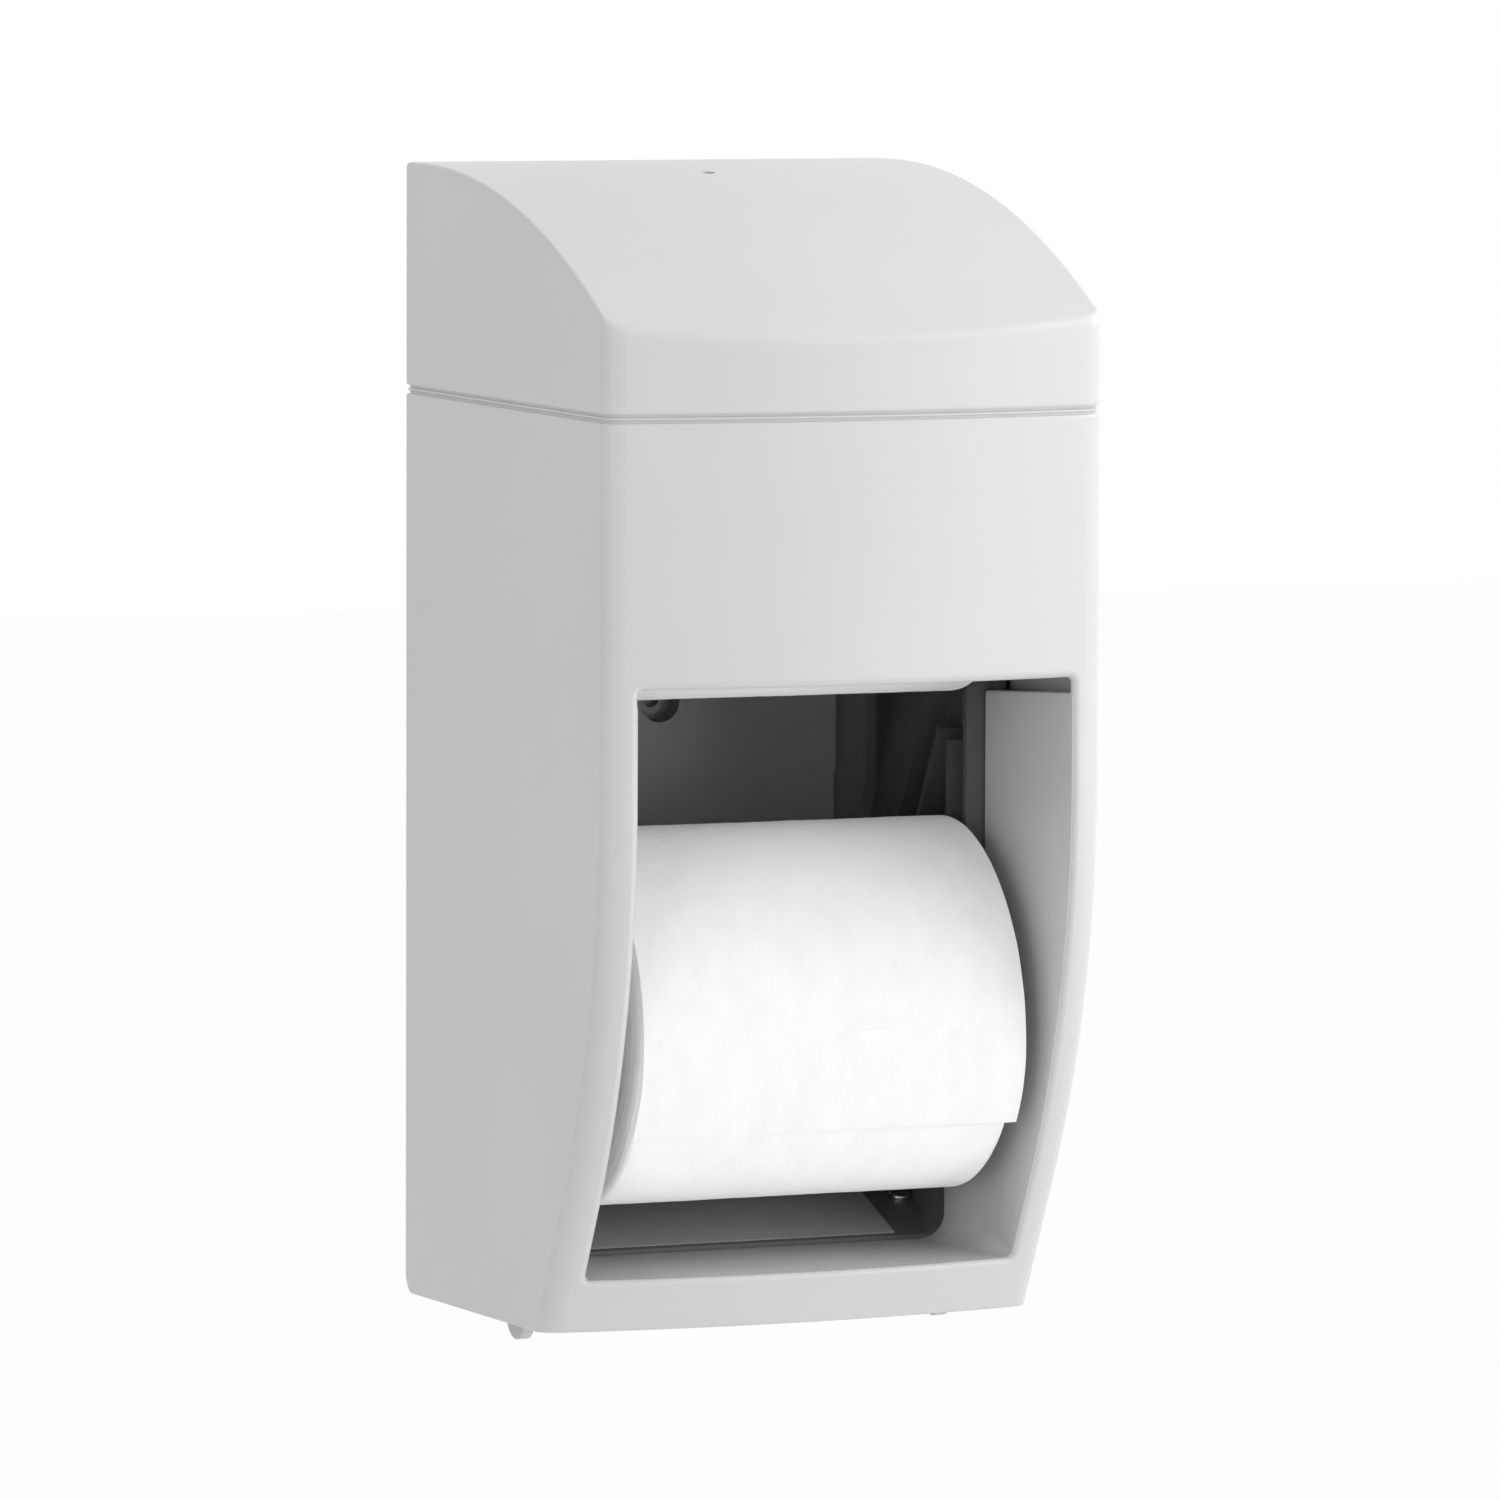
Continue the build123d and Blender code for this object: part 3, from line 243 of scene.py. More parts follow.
class Net:
    """Collects points and faces, with points that lie in one place joined."""

    def __init__(self):
        self.points, self.faces, self.known = [], [], {}

    def add(self, p):
        key = (round(p[0], 3), round(p[1], 3), round(p[2], 3))
        if key not in self.known:
            self.known[key] = len(self.points)
            self.points.append((float(p[0]), float(p[1]), float(p[2])))
        return self.known[key]

    def face(self, corners, flip=False):
        ids = []
        for p in corners:
            i = self.add(p)
            if i not in ids:
                ids.append(i)
        if len(ids) > 2:
            self.faces.append(tuple(reversed(ids)) if flip else tuple(ids))

    def strip(self, a, b, flip=False):
        for i in range(len(a) - 1):
            self.face([a[i], a[i + 1], b[i + 1], b[i]], flip)

    def grid(self, rows, flip=False, skip=None):
        for j in range(len(rows) - 1):
            for i in range(len(rows[j]) - 1):
                if skip is None or not skip(i, j):
                    self.face([rows[j][i], rows[j][i + 1], rows[j + 1][i + 1], rows[j + 1][i]], flip)


# Lower shell: outer and inner skin, with the window's opening and its rolled lip

LIP = 2.3
LIP_STEPS = 7
HOLE_MARGIN = 1.2
HOLE_HALF = COLUMNS[FRONT_FIRST]["x"]
ARC_STEPS = 5
SIDE_STEPS = 42
HOLE_X = [HOLE_HALF] + list(FRONT_X[:ARC_STEPS])
TOP_X = list(FRONT_X[ARC_STEPS:]) + [0.0] + [-x for x in reversed(FRONT_X[ARC_STEPS:])]
LOW_CENTRE = WINDOW_LOW + WINDOW_CORNER
HIGH_CENTRE = WINDOW_HIGH - WINDOW_CORNER
HOLE_LOW = WINDOW_LOW - LIP - HOLE_MARGIN
HOLE_HIGH = WINDOW_HIGH + LIP + HOLE_MARGIN
LOW_ROWS = [HOLE_LOW + (LOW_CENTRE - HOLE_LOW) * k / ARC_STEPS for k in range(ARC_STEPS + 1)]
HIGH_ROWS = [HIGH_CENTRE + (HOLE_HIGH - HIGH_CENTRE) * k / ARC_STEPS for k in range(ARC_STEPS + 1)]
SIDE_ROWS = [LOW_CENTRE + (HIGH_CENTRE - LOW_CENTRE) * k / SIDE_STEPS for k in range(1, SIDE_STEPS)]
BEND_ROWS = LOW_ROWS + SIDE_ROWS + HIGH_ROWS
UPPER_ROWS = [206.0, 216.0, 228.0, 240.0, 252.0, 262.0, 268.0, 271.5]
INNER_UPPER_ROWS = 5

# Rows as in row_points(). The foot is rounded under, the seam has a bead between two grooves, and the
# spigot is what the cap sits on.
FOOT_ROWS = [
    ("b", 0.0, 0.9), ("b", 0.08, 0.45), ("b", 0.3, 0.14), ("b", 0.75, 0.0), ("b", 3.0, 0.0), ("b", 6.5, 0.0),
]
INNER_FOOT_ROWS = [("b", 6.5, WALL), ("b", 3.0, WALL), ("b", 0.0, WALL)]
SEAM_START = ("z", SEAM_LOW - 0.05, 0.4)
GROOVE = 1.2
GROOVE_ROUND = 1.1
BEAD_FLANK = 0.85
BEAD = 0.62
SEAM_ROWS = [
    SEAM_START, ("z", SEAM_LOW, GROOVE), ("z", 274.1, GROOVE), ("z", 274.25, GROOVE_ROUND),
    ("z", 274.35, BEAD_FLANK), ("z", 274.6, BEAD), ("z", 275.0, BEAD), ("z", 275.25, BEAD_FLANK),
    ("z", 275.35, GROOVE_ROUND), ("z", 275.5, GROOVE), ("z", SEAM_HIGH, GROOVE),
]
SPIGOT_OUT = 2.6
SPIGOT_IN = 4.5
SPIGOT_TOP = 285.1
SPIGOT_FOOT = 264.5
SPIGOT_ROWS = [
    ("z", SEAM_HIGH, SPIGOT_OUT), ("z", 284.4, SPIGOT_OUT), ("z", SPIGOT_TOP, 3.0),
    ("z", SPIGOT_TOP, SPIGOT_IN), ("z", SPIGOT_FOOT, SPIGOT_IN), ("z", SPIGOT_FOOT, WALL),
]


def outline(offset):
    """The window's outline moved outwards, as (x, height) points in step with hole()."""
    radius = WINDOW_CORNER + offset
    side_x = WINDOW_HALF - WINDOW_CORNER
    loop = []

    def arc(cx, cz, start, turn):
        for k in range(2 * ARC_STEPS + 1):
            a = start + turn * k / (2 * ARC_STEPS)
            loop.append((cx + radius * math.cos(a), cz + radius * math.sin(a)))

    for z in SIDE_ROWS:
        loop.append((side_x + radius, z))
    arc(side_x, HIGH_CENTRE, 0.0, math.pi / 2)
    for x in TOP_X:
        loop.append((x, HIGH_CENTRE + radius))
    arc(-side_x, HIGH_CENTRE, math.pi / 2, math.pi / 2)
    for z in reversed(SIDE_ROWS):
        loop.append((-side_x - radius, z))
    arc(-side_x, LOW_CENTRE, math.pi, math.pi / 2)
    for x in reversed(TOP_X):
        loop.append((x, LOW_CENTRE - radius))
    arc(side_x, LOW_CENTRE, -math.pi / 2, math.pi / 2)
    return loop


def hole():
    """The rectangular hole in the skin's grid, point for point with outline()."""
    loop = [(HOLE_HALF, z) for z in SIDE_ROWS]
    loop += [(HOLE_HALF, z) for z in HIGH_ROWS] + [(x, HOLE_HIGH) for x in HOLE_X[1:]]
    loop += [(x, HOLE_HIGH) for x in TOP_X]
    loop += [(-x, HOLE_HIGH) for x in reversed(HOLE_X[1:])] + [(-HOLE_HALF, z) for z in reversed(HIGH_ROWS)]
    loop += [(-HOLE_HALF, z) for z in reversed(SIDE_ROWS)]
    loop += [(-HOLE_HALF, z) for z in reversed(LOW_ROWS)] + [(-x, HOLE_LOW) for x in HOLE_X[1:]]
    loop += [(x, HOLE_LOW) for x in reversed(TOP_X)]
    loop += [(x, HOLE_LOW) for x in reversed(HOLE_X[1:])] + [(HOLE_HALF, z) for z in LOW_ROWS]
    return loop


def lip_section(x0, z0, x1, z1):
    """The rolled edge from the front at (x0, z0) over the corner at (x1, z1) to the cut behind it."""
    a = np.array((x0, front_y(x0, z0), z0))
    b = np.array((x1, front_y(x1, z1), z1))
    c = b + np.array((0.0, LIP, 0.0))
    return [conic(a, b, c, k / LIP_STEPS) for k in range(LIP_STEPS + 1)]


def inner_x(x):
    """Where a column at x of the outer front meets the inner skin."""
    return x * (1 - WALL / BOW_RADIUS)


def wall_depth(z):
    """How far behind the outer front the inner skin lies, measured straight back."""
    return front_y(WINDOW_HALF, z, WALL) - front_y(WINDOW_HALF, z)


def window_ring(net):
    """The rolled lip and the ring between it and the skins' hole, outside and inside."""
    around, edge_line, start_line = hole(), outline(0.0), outline(LIP)
    count = len(around)
    for i in range(count):
        k = (i + 1) % count
        section_a = lip_section(*start_line[i], *edge_line[i])
        section_b = lip_section(*start_line[k], *edge_line[k])
        outside = [(x, front_y(x, z), z) for x, z in (around[i], around[k])]
        net.face([outside[0], outside[1], section_b[0], section_a[0]])
        net.strip(section_b, section_a)
        ends = [(x, front_y(x, z) + wall_depth(z), z) for x, z in (edge_line[i], edge_line[k])]
        net.face([section_a[-1], section_b[-1], ends[1], ends[0]])
        inside = [(inner_x(x), front_y(inner_x(x), z, WALL), z) for x, z in (around[i], around[k])]
        net.face([ends[0], ends[1], inside[1], inside[0]])


def shell_skin():
    """The lower shell, closed: outer skin, seam, spigot, inner skin, rear edges and window lip."""
    net = Net()
    last = len(COLUMNS) - 1 - FRONT_FIRST

    def beside_window(first_row):
        """Which cells of a grid the window takes, when its rows begin at first_row."""
        end_row = first_row + len(BEND_ROWS) - 1
        return lambda i, j: FRONT_FIRST <= i < last and first_row <= j < end_row

    outer_rows = FOOT_ROWS + [("z", z, 0.0) for z in BEND_ROWS + UPPER_ROWS]
    outer_rows += [("z", SEAM_LOW - 0.9, 0.0), ("z", SEAM_LOW - 0.35, 0.1), SEAM_START]
    net.grid([row_points(r) for r in outer_rows], skip=beside_window(len(FOOT_ROWS)))
    profile = SEAM_ROWS + SPIGOT_ROWS
    net.grid([row_points(r) for r in profile])
    heights = [SPIGOT_FOOT] + list(reversed(UPPER_ROWS[:INNER_UPPER_ROWS]))
    inner_rows = [("z", z, WALL) for z in heights + list(reversed(BEND_ROWS))] + INNER_FOOT_ROWS
    net.grid([row_points(r) for r in inner_rows], skip=beside_window(len(heights)))
    net.strip(row_points(INNER_FOOT_ROWS[-1]), row_points(FOOT_ROWS[0]))
    edge = outer_rows + profile[1:] + inner_rows[1:]
    for col, flip in ((COLUMNS[0], True), (COLUMNS[-1], False)):
        net.face([row_points(r, [col])[0] for r in edge], flip)
    window_ring(net)
    return net


# Cap: walls, rounded rim and dome, with the keyhole

RIM_SIDE = 1.5
RIM_FRONT = 3.3
RIM_STEPS = 6
RIM_RUN = 1.5
RIM_WEIGHT = 0.72
RIM_WEIGHT_GAIN = 0.15
KEY_Y = (KEY_REAR + KEY_FRONT) / 2
KEY_RADIUS = 2.2
KEY_PATCH = (KEY_REAR - KEY_FRONT) / 2
KEY_STEPS = 32
CAP_ROWS = 14
CAP_ROW_POWER = 0.8
CAP_INNER_ROWS = 6
CAP_EDGE = ((0.0, 0.45), (0.05, 0.3), (0.35, 0.08), (0.9, 0.0))


def rim_size(index):
    """How far the cap's top edge is rounded at one upright line, and how open its corner is."""
    mirrored = min(index, len(COLUMNS) - 1 - index)
    turn = smooth(0.0, 1.0, (mirrored - CORNER_FIRST) / CORNER_STEPS)
    return RIM_SIDE + (RIM_FRONT - RIM_SIDE) * turn, RIM_WEIGHT + RIM_WEIGHT_GAIN * turn


def dome_point(col, inset_plan, inset_dome=0.0):
    """The dome's surface over one upright line."""
    x, y, _ = on_cover(col, HEIGHT, inset_plan)
    return x, y, dome_z(y, inset_dome)


def round_keyhole(inset):
    """The keyhole's round edge, and the square round it, point for point."""
    ring, square = [], []
    for k in range(KEY_STEPS):
        a = 2 * math.pi * k / KEY_STEPS
        c, s = math.cos(a), math.sin(a)
        reach = KEY_PATCH / max(abs(c), abs(s))
        for loop, radius in ((ring, KEY_RADIUS), (square, reach)):
            x, y = radius * c, KEY_Y + radius * s
            loop.append((x, y, dome_z(y, inset)))
    return ring, square


def dome_row(right, left, middle=()):
    """A row of the dome from right to left, cut beside the keyhole or through the keyhole's own points."""
    x, y, z = right
    if middle:
        return [right], list(middle), [left]
    if x > 3 * KEY_PATCH:
        return [right], [(KEY_PATCH, y, z), (-KEY_PATCH, y, z)], [left]
    return [], [right, left], []


def dome_faces(net, ends, inset, flip):
    """The dome between its rounded rims, with the keyhole's round hole in it. Returns the hole's edge."""
    last = len(COLUMNS) - 1
    half = last // 2
    ring, square = round_keyhole(inset)
    eighth = KEY_STEPS // 8
    rear = square[eighth:3 * eighth + 1]
    front = [square[(-eighth - k) % KEY_STEPS] for k in range(2 * eighth + 1)]
    low_row = SIDE_PLACES.index(KEY_REAR)
    keyhole_rows = {low_row: rear, low_row + 1: front}
    rows = [dome_row(ends[i], ends[last - i], keyhole_rows.get(i, ())) for i in range(half)]
    right_side = [square[(eighth - k) % KEY_STEPS] for k in range(1, 2 * eighth)]
    left_side = [square[3 * eighth + k] for k in range(1, 2 * eighth)]
    for i in range(half - 1):
        (a, m, d), (b, n, c) = rows[i], rows[i + 1]
        if i == low_row:
            net.face([a[0], m[0]] + right_side + [n[0], b[0]], flip)
            net.face([m[-1], d[0], c[0], n[-1]] + list(reversed(left_side)), flip)
            for k in range(KEY_STEPS):
                j = (k + 1) % KEY_STEPS
                net.face([square[j], square[k], ring[k], ring[j]], not flip)
        elif a and b:
            net.face([a[0], m[0], n[0], b[0]], flip)
            net.face(list(m) + list(reversed(n)), flip)
            net.face([m[-1], d[0], c[0], n[-1]], flip)
        else:
            net.face(a + list(m) + d + list(reversed(n)), flip)
    net.face([ends[half - 1], ends[half], ends[last - half + 1]], flip)
    return ring


def cap_skin():
    """The cap, closed: outer walls and dome, inner walls and dome, keyhole, lower rim and rear edge."""
    net = Net()
    lines = []
    for index, col in enumerate(COLUMNS):
        size, weight = rim_size(index)
        top = np.array(dome_point(col, 0.0))
        line = [on_cover(col, SEAM_HIGH + rise, inset) for rise, inset in CAP_EDGE]
        start = SEAM_HIGH + CAP_EDGE[-1][0]
        end = top[2] - size
        for k in range(1, CAP_ROWS + 1):
            share = k / CAP_ROWS
            line.append(on_cover(col, start + (end - start) * (share ** CAP_ROW_POWER), 0.0))
        below = np.array(on_cover(col, end, 0.0))
        over = np.array(dome_point(col, size))
        for k in range(1, RIM_STEPS + 1):
            line.append(conic(below, top, over, k / RIM_STEPS, weight))
        line.append(dome_point(col, size + RIM_RUN))
        lines.append(line)
    net.grid([list(row) for row in zip(*lines)])
    ends = [line[-1] for line in lines]
    inner_ends = [dome_point(col, WALL, WALL) for col in COLUMNS]
    ring_top = dome_faces(net, ends, 0.0, False)
    ring_low = dome_faces(net, inner_ends, WALL, True)
    for k in range(KEY_STEPS):
        m = (k + 1) % KEY_STEPS
        net.face([ring_top[m], ring_top[k], ring_low[k], ring_low[m]])
    # Inner skin, its rim on the spigot, and the rear edge
    inner = []
    for col in COLUMNS:
        top = dome_point(col, WALL, WALL)
        rise = top[2] - SEAM_HIGH
        wall = [on_cover(col, SEAM_HIGH + rise * k / CAP_INNER_ROWS, WALL) for k in range(CAP_INNER_ROWS)]
        inner.append(wall + [top])
    net.grid([list(row) for row in zip(*inner)], flip=True)
    net.strip([line[0] for line in inner], [line[0] for line in lines])
    cut = [(side * KEY_PATCH, REAR) for side in (1, -1)]
    rim = lines[0] + [(x, y, dome_z(y)) for x, y in cut] + list(reversed(lines[-1]))
    inside = inner[-1] + [(x, y, dome_z(y, WALL)) for x, y in reversed(cut)] + list(reversed(inner[0]))
    net.face(rim + inside)
    return net


# Closed pieces beside the skins


def join(*nets):
    """Several nets as one, each kept closed by itself."""
    points, faces = [], []
    for net in nets:
        base = len(points)
        points += net.points
        faces += [tuple(i + base for i in face) for face in net.faces]
    return points, faces


GUIDE_IN = WINDOW_HALF + 0.02
GUIDE_OUT = 70.0
GUIDE_REAR = -103.5
GUIDE_LOW = 10.3
GUIDE_TOP_REAR = 188.0
GUIDE_TOP_FRONT = 193.0
GUIDE_FRONT_LINE = -175.0
LET_IN = 1.25
GUIDE_NOSE = 0.9
GUIDE_ROUND = 0.7
GUIDE_STEPS = 12
GUIDE_ROWS = 44


def round_steps(count):
    """Cosine and sine of equal steps round a circle, the last one as the first."""
    angles = [2 * math.pi * (k % count) / count for k in range(count + 1)]
    return [(math.cos(a), math.sin(a)) for a in angles]


def lofted(loops, flip):
    """A closed form through loops that each end where they begin."""
    net = Net()
    net.grid(loops, flip=flip)
    net.face(loops[0][:-1], not flip)
    net.face(loops[-1][:-1], flip)
    return net


def guide(side):
    """One paper guide: a flat wall with its rear and top edges rounded."""
    span = GUIDE_TOP_FRONT - GUIDE_LOW
    rows = [(GUIDE_LOW, 0.0), (GUIDE_LOW + 0.01, 0.0)]
    rows += [(GUIDE_LOW + span * k / GUIDE_ROWS, 0.0) for k in range(1, GUIDE_ROWS)]
    rows += [(GUIDE_TOP_FRONT - 0.8, 0.0), (GUIDE_TOP_FRONT - 0.4, 0.1), (GUIDE_TOP_FRONT - 0.12, 0.3),
             (GUIDE_TOP_FRONT, 0.62)]
    loops = []
    for height, inset in rows:
        share = (height - GUIDE_LOW) / span
        front = front_y(GUIDE_IN, height, LET_IN)
        rear = GUIDE_REAR - inset
        run = rear - GUIDE_NOSE - front
        section = [(GUIDE_IN + inset, front + run * k / GUIDE_STEPS) for k in range(GUIDE_STEPS)]
        for k in range(7):
            a = math.pi / 2 * k / 6
            x = GUIDE_IN + inset + GUIDE_ROUND * (1 - math.cos(a))
            section.append((x, rear - GUIDE_NOSE * (1 - math.sin(a))))
        section += [(GUIDE_OUT - (x - GUIDE_IN), y) for x, y in reversed(section)]
        loop = []
        for x, y in section:
            rise = (GUIDE_TOP_FRONT - GUIDE_TOP_REAR) * (GUIDE_REAR - y) / (GUIDE_REAR - GUIDE_FRONT_LINE)
            top = GUIDE_TOP_REAR + rise
            loop.append((side * x, y, GUIDE_LOW + (top - GUIDE_LOW) * share))
        loops.append(loop + [loop[0]])
    return lofted(loops, side > 0)


SILL_TOP = WINDOW_LOW - 0.02
SILL_REAR = -84.0
SILL_CROWN = 0.7
SILL_WALL = 2.2
SILL_LOW = 10.3
SILL_HALF = 68.5
SILL_NOSE = 0.9
HOLLOW_HALF = 66.5
HOLLOW_LAP = 0.05
HOLLOW_FRONT = 4.0
SILL_COLUMNS = 17
SILL_STEPS = 14


def sill_height(share):
    """Height of the sill at a share of the way to its rear edge: a slight crown that levels off."""
    return SILL_TOP + SILL_CROWN * (1 - (1 - share) ** 2)


def sill():
    """The shelf behind the window's lower edge: a middle that is hollow from below, and two full ends."""
    nets = []
    middle = (-HOLLOW_HALF - HOLLOW_LAP, HOLLOW_HALF + HOLLOW_LAP, SILL_COLUMNS, True)
    ends = ((HOLLOW_HALF, SILL_HALF, 2, False), (-SILL_HALF, -HOLLOW_HALF, 2, False))
    for x_from, x_to, count, hollow in (middle, *ends):
        net = Net()
        loops = []
        for k in range(count):
            x = x_from + (x_to - x_from) * k / (count - 1)
            front = front_y(x, SILL_TOP, LET_IN)
            run = SILL_REAR - SILL_NOSE - front
            shares = [(s, s / SILL_STEPS) for s in range(SILL_STEPS + 1)]
            line = [(front + run * s / SILL_STEPS, sill_height(share)) for s, share in shares]
            top = line[-1][1]
            line += [(SILL_REAR - 0.3, top - 0.2), (SILL_REAR, top - SILL_NOSE), (SILL_REAR, SILL_LOW)]
            if hollow:
                front = front_y(x, SILL_LOW, WALL) + HOLLOW_FRONT
                line += [(SILL_REAR - SILL_WALL, SILL_LOW), (SILL_REAR - SILL_WALL, top - SILL_WALL - 0.6),
                         (front, SILL_TOP - SILL_WALL), (front, SILL_LOW)]
            line.append((front_y(x, SILL_LOW, LET_IN), SILL_LOW))
            loops.append([(x, y, z) for y, z in line])
        net.grid([loop + [loop[0]] for loop in loops])
        net.face(loops[0])
        net.face(loops[-1], True)
        nets.append(net)
    return nets


BLEND_STEPS = 30
BLEND_LEAVES = -112.0
BLEND_INWARD = 3.75
BLEND_FACE = GUIDE_IN - 0.05
BLEND_BACK = -1.2
BLEND_SOLE = 1.2
BLEND_TOP = 60.0
BLEND_TOP_FALL = 14.0
BLEND_RADIUS = 2.2
BLEND_RADIUS_GAIN = 5.3


def side_blend(side):
    """The hollow corner between sill and paper guide, drawn in behind the guide to the sill's rear edge."""
    loops = []
    for k in range(BLEND_STEPS + 1):
        share = k / BLEND_STEPS

        def place(x_in, z):
            front = front_y(GUIDE_IN, z, LET_IN)
            y = front + (SILL_REAR - front) * share
            wall = BLEND_FACE - BLEND_INWARD * smooth(BLEND_LEAVES, SILL_REAR, y)
            return side * (wall - x_in), y, z

        floor = sill_height(share)
        radius = BLEND_RADIUS + BLEND_RADIUS_GAIN * smooth(0.0, 0.45, share)
        rising = smooth(BLEND_LEAVES - 1.0, BLEND_LEAVES + 9.0, place(0.0, floor)[1])
        top = floor + radius + (BLEND_TOP - BLEND_TOP_FALL * share - floor - radius) * rising
        section = [(-0.55, top), (-0.18, top - 0.12), (-0.02, top - 0.4)]
        section += [(0.0, top - 0.5 + (floor + radius - top + 0.5) * n / 6) for n in range(1, 7)]
        for n in range(1, 10):
            a = math.pi / 2 * n / 9
            section.append((radius * (1 - math.cos(a)), floor + radius * (1 - math.sin(a))))
        edge = radius + 0.7
        low = floor - BLEND_SOLE
        section += [(edge, floor - 0.12), (edge, low), (BLEND_BACK, low), (BLEND_BACK, top)]
        loop = [place(*q) for q in section]
        loops.append(loop + [loop[0]])
    return lofted(loops, side > 0)


CHEEK_IN = 65.1
CHEEK_OUT = 65.65
CHEEK_TOP = 46.0
CHEEK_FRONT = -80.9
CHEEK_REAR = -41.0
CHEEK_STEPS = 20
CHEEK_SOLE = 0.9
TRAY_FRONT = -81.0
TRAY_FRONT_TOP = 21.9
TRAY_SLOPE = math.tan(math.radians(19.0))


def tray_top(y):
    """Height of the tray's sloping floor at one depth."""
    return TRAY_FRONT_TOP + (y - TRAY_FRONT) * TRAY_SLOPE


def cheek(side):
    """The side wall over one end of the tray, with a hollow corner at its foot. It hides the hinge's ear."""
    loops = []
    for k in range(CHEEK_STEPS + 1):
        y = CHEEK_FRONT + (CHEEK_REAR - CHEEK_FRONT) * k / CHEEK_STEPS
        radius = 0.3 + 4.5 * (1 - smooth(-78.0, -64.0, y))
        low = tray_top(y)
        high = CHEEK_TOP - 0.3
        section = [(CHEEK_OUT, CHEEK_TOP), (CHEEK_IN + 0.2, CHEEK_TOP), (CHEEK_IN + 0.05, CHEEK_TOP - 0.1)]
        section += [(CHEEK_IN, high + (low + radius - high) * n / 4) for n in range(5)]
        for n in range(1, 8):
            a = math.pi / 2 * n / 7
            section.append((CHEEK_IN - radius * (1 - math.cos(a)), low + radius * (1 - math.sin(a))))
        edge = CHEEK_IN - radius - 0.3
        section += [(edge, low - 0.1), (edge, low - CHEEK_SOLE), (CHEEK_OUT, low - CHEEK_SOLE)]
        loop = [(side * x, y, z) for x, z in section]
        loops.append(loop + [loop[0]])
    return lofted(loops, side < 0)


# The webs' section is (depth, radius) from the wall side to the front
MOUNT_HOLES = ((0.0, 179.0), (0.0, 284.0), (-40.0, 64.0), (40.0, 64.0))
WEB_SECTION = (
    (-0.35, 0.0), (-0.35, 2.85), (-0.75, 2.85), (-0.75, 2.2), (-0.85, 1.9), (-0.95, 1.6), (-0.98, 0.0),
)
WEB_AROUND = 40


def hole_webs():
    """Thin webs over the mounting holes, which are open in the CAD. The photograph shows one closed."""
    nets = []
    turns = round_steps(WEB_AROUND)
    for x, z in MOUNT_HOLES:
        net = Net()
        net.grid([[(x + r * c, y, z + r * s) for c, s in turns] for y, r in WEB_SECTION])
        nets.append(net)
    return nets


KNUCKLE_AXIS = (-71.5, 7.5)
KNUCKLE_IN = 69.3
KNUCKLE_OUT = 76.7
KNUCKLE_RADIUS = 4.8
KNUCKLE_BORE = 2.58
KNUCKLE_BORE_END = 75.5
KNUCKLE_AROUND = 48


def knuckle(side):
    """One hinge knuckle, turned round the hinge axis, with a blind bore for the pin."""
    section = [
        (KNUCKLE_BORE_END, 0.0), (KNUCKLE_BORE_END, KNUCKLE_BORE), (KNUCKLE_IN + 0.3, KNUCKLE_BORE),
        (KNUCKLE_IN, KNUCKLE_BORE + 0.35), (KNUCKLE_IN, KNUCKLE_RADIUS - 0.5),
        (KNUCKLE_IN + 0.15, KNUCKLE_RADIUS - 0.15), (KNUCKLE_IN + 0.5, KNUCKLE_RADIUS),
        (KNUCKLE_OUT, KNUCKLE_RADIUS), (KNUCKLE_OUT, 0.0),
    ]
    y, z = KNUCKLE_AXIS
    net = Net()
    turns = round_steps(KNUCKLE_AROUND)
    net.grid([[(side * x, y + r * c, z + r * s) for c, s in turns] for x, r in section], side < 0)
    return net


# Materials


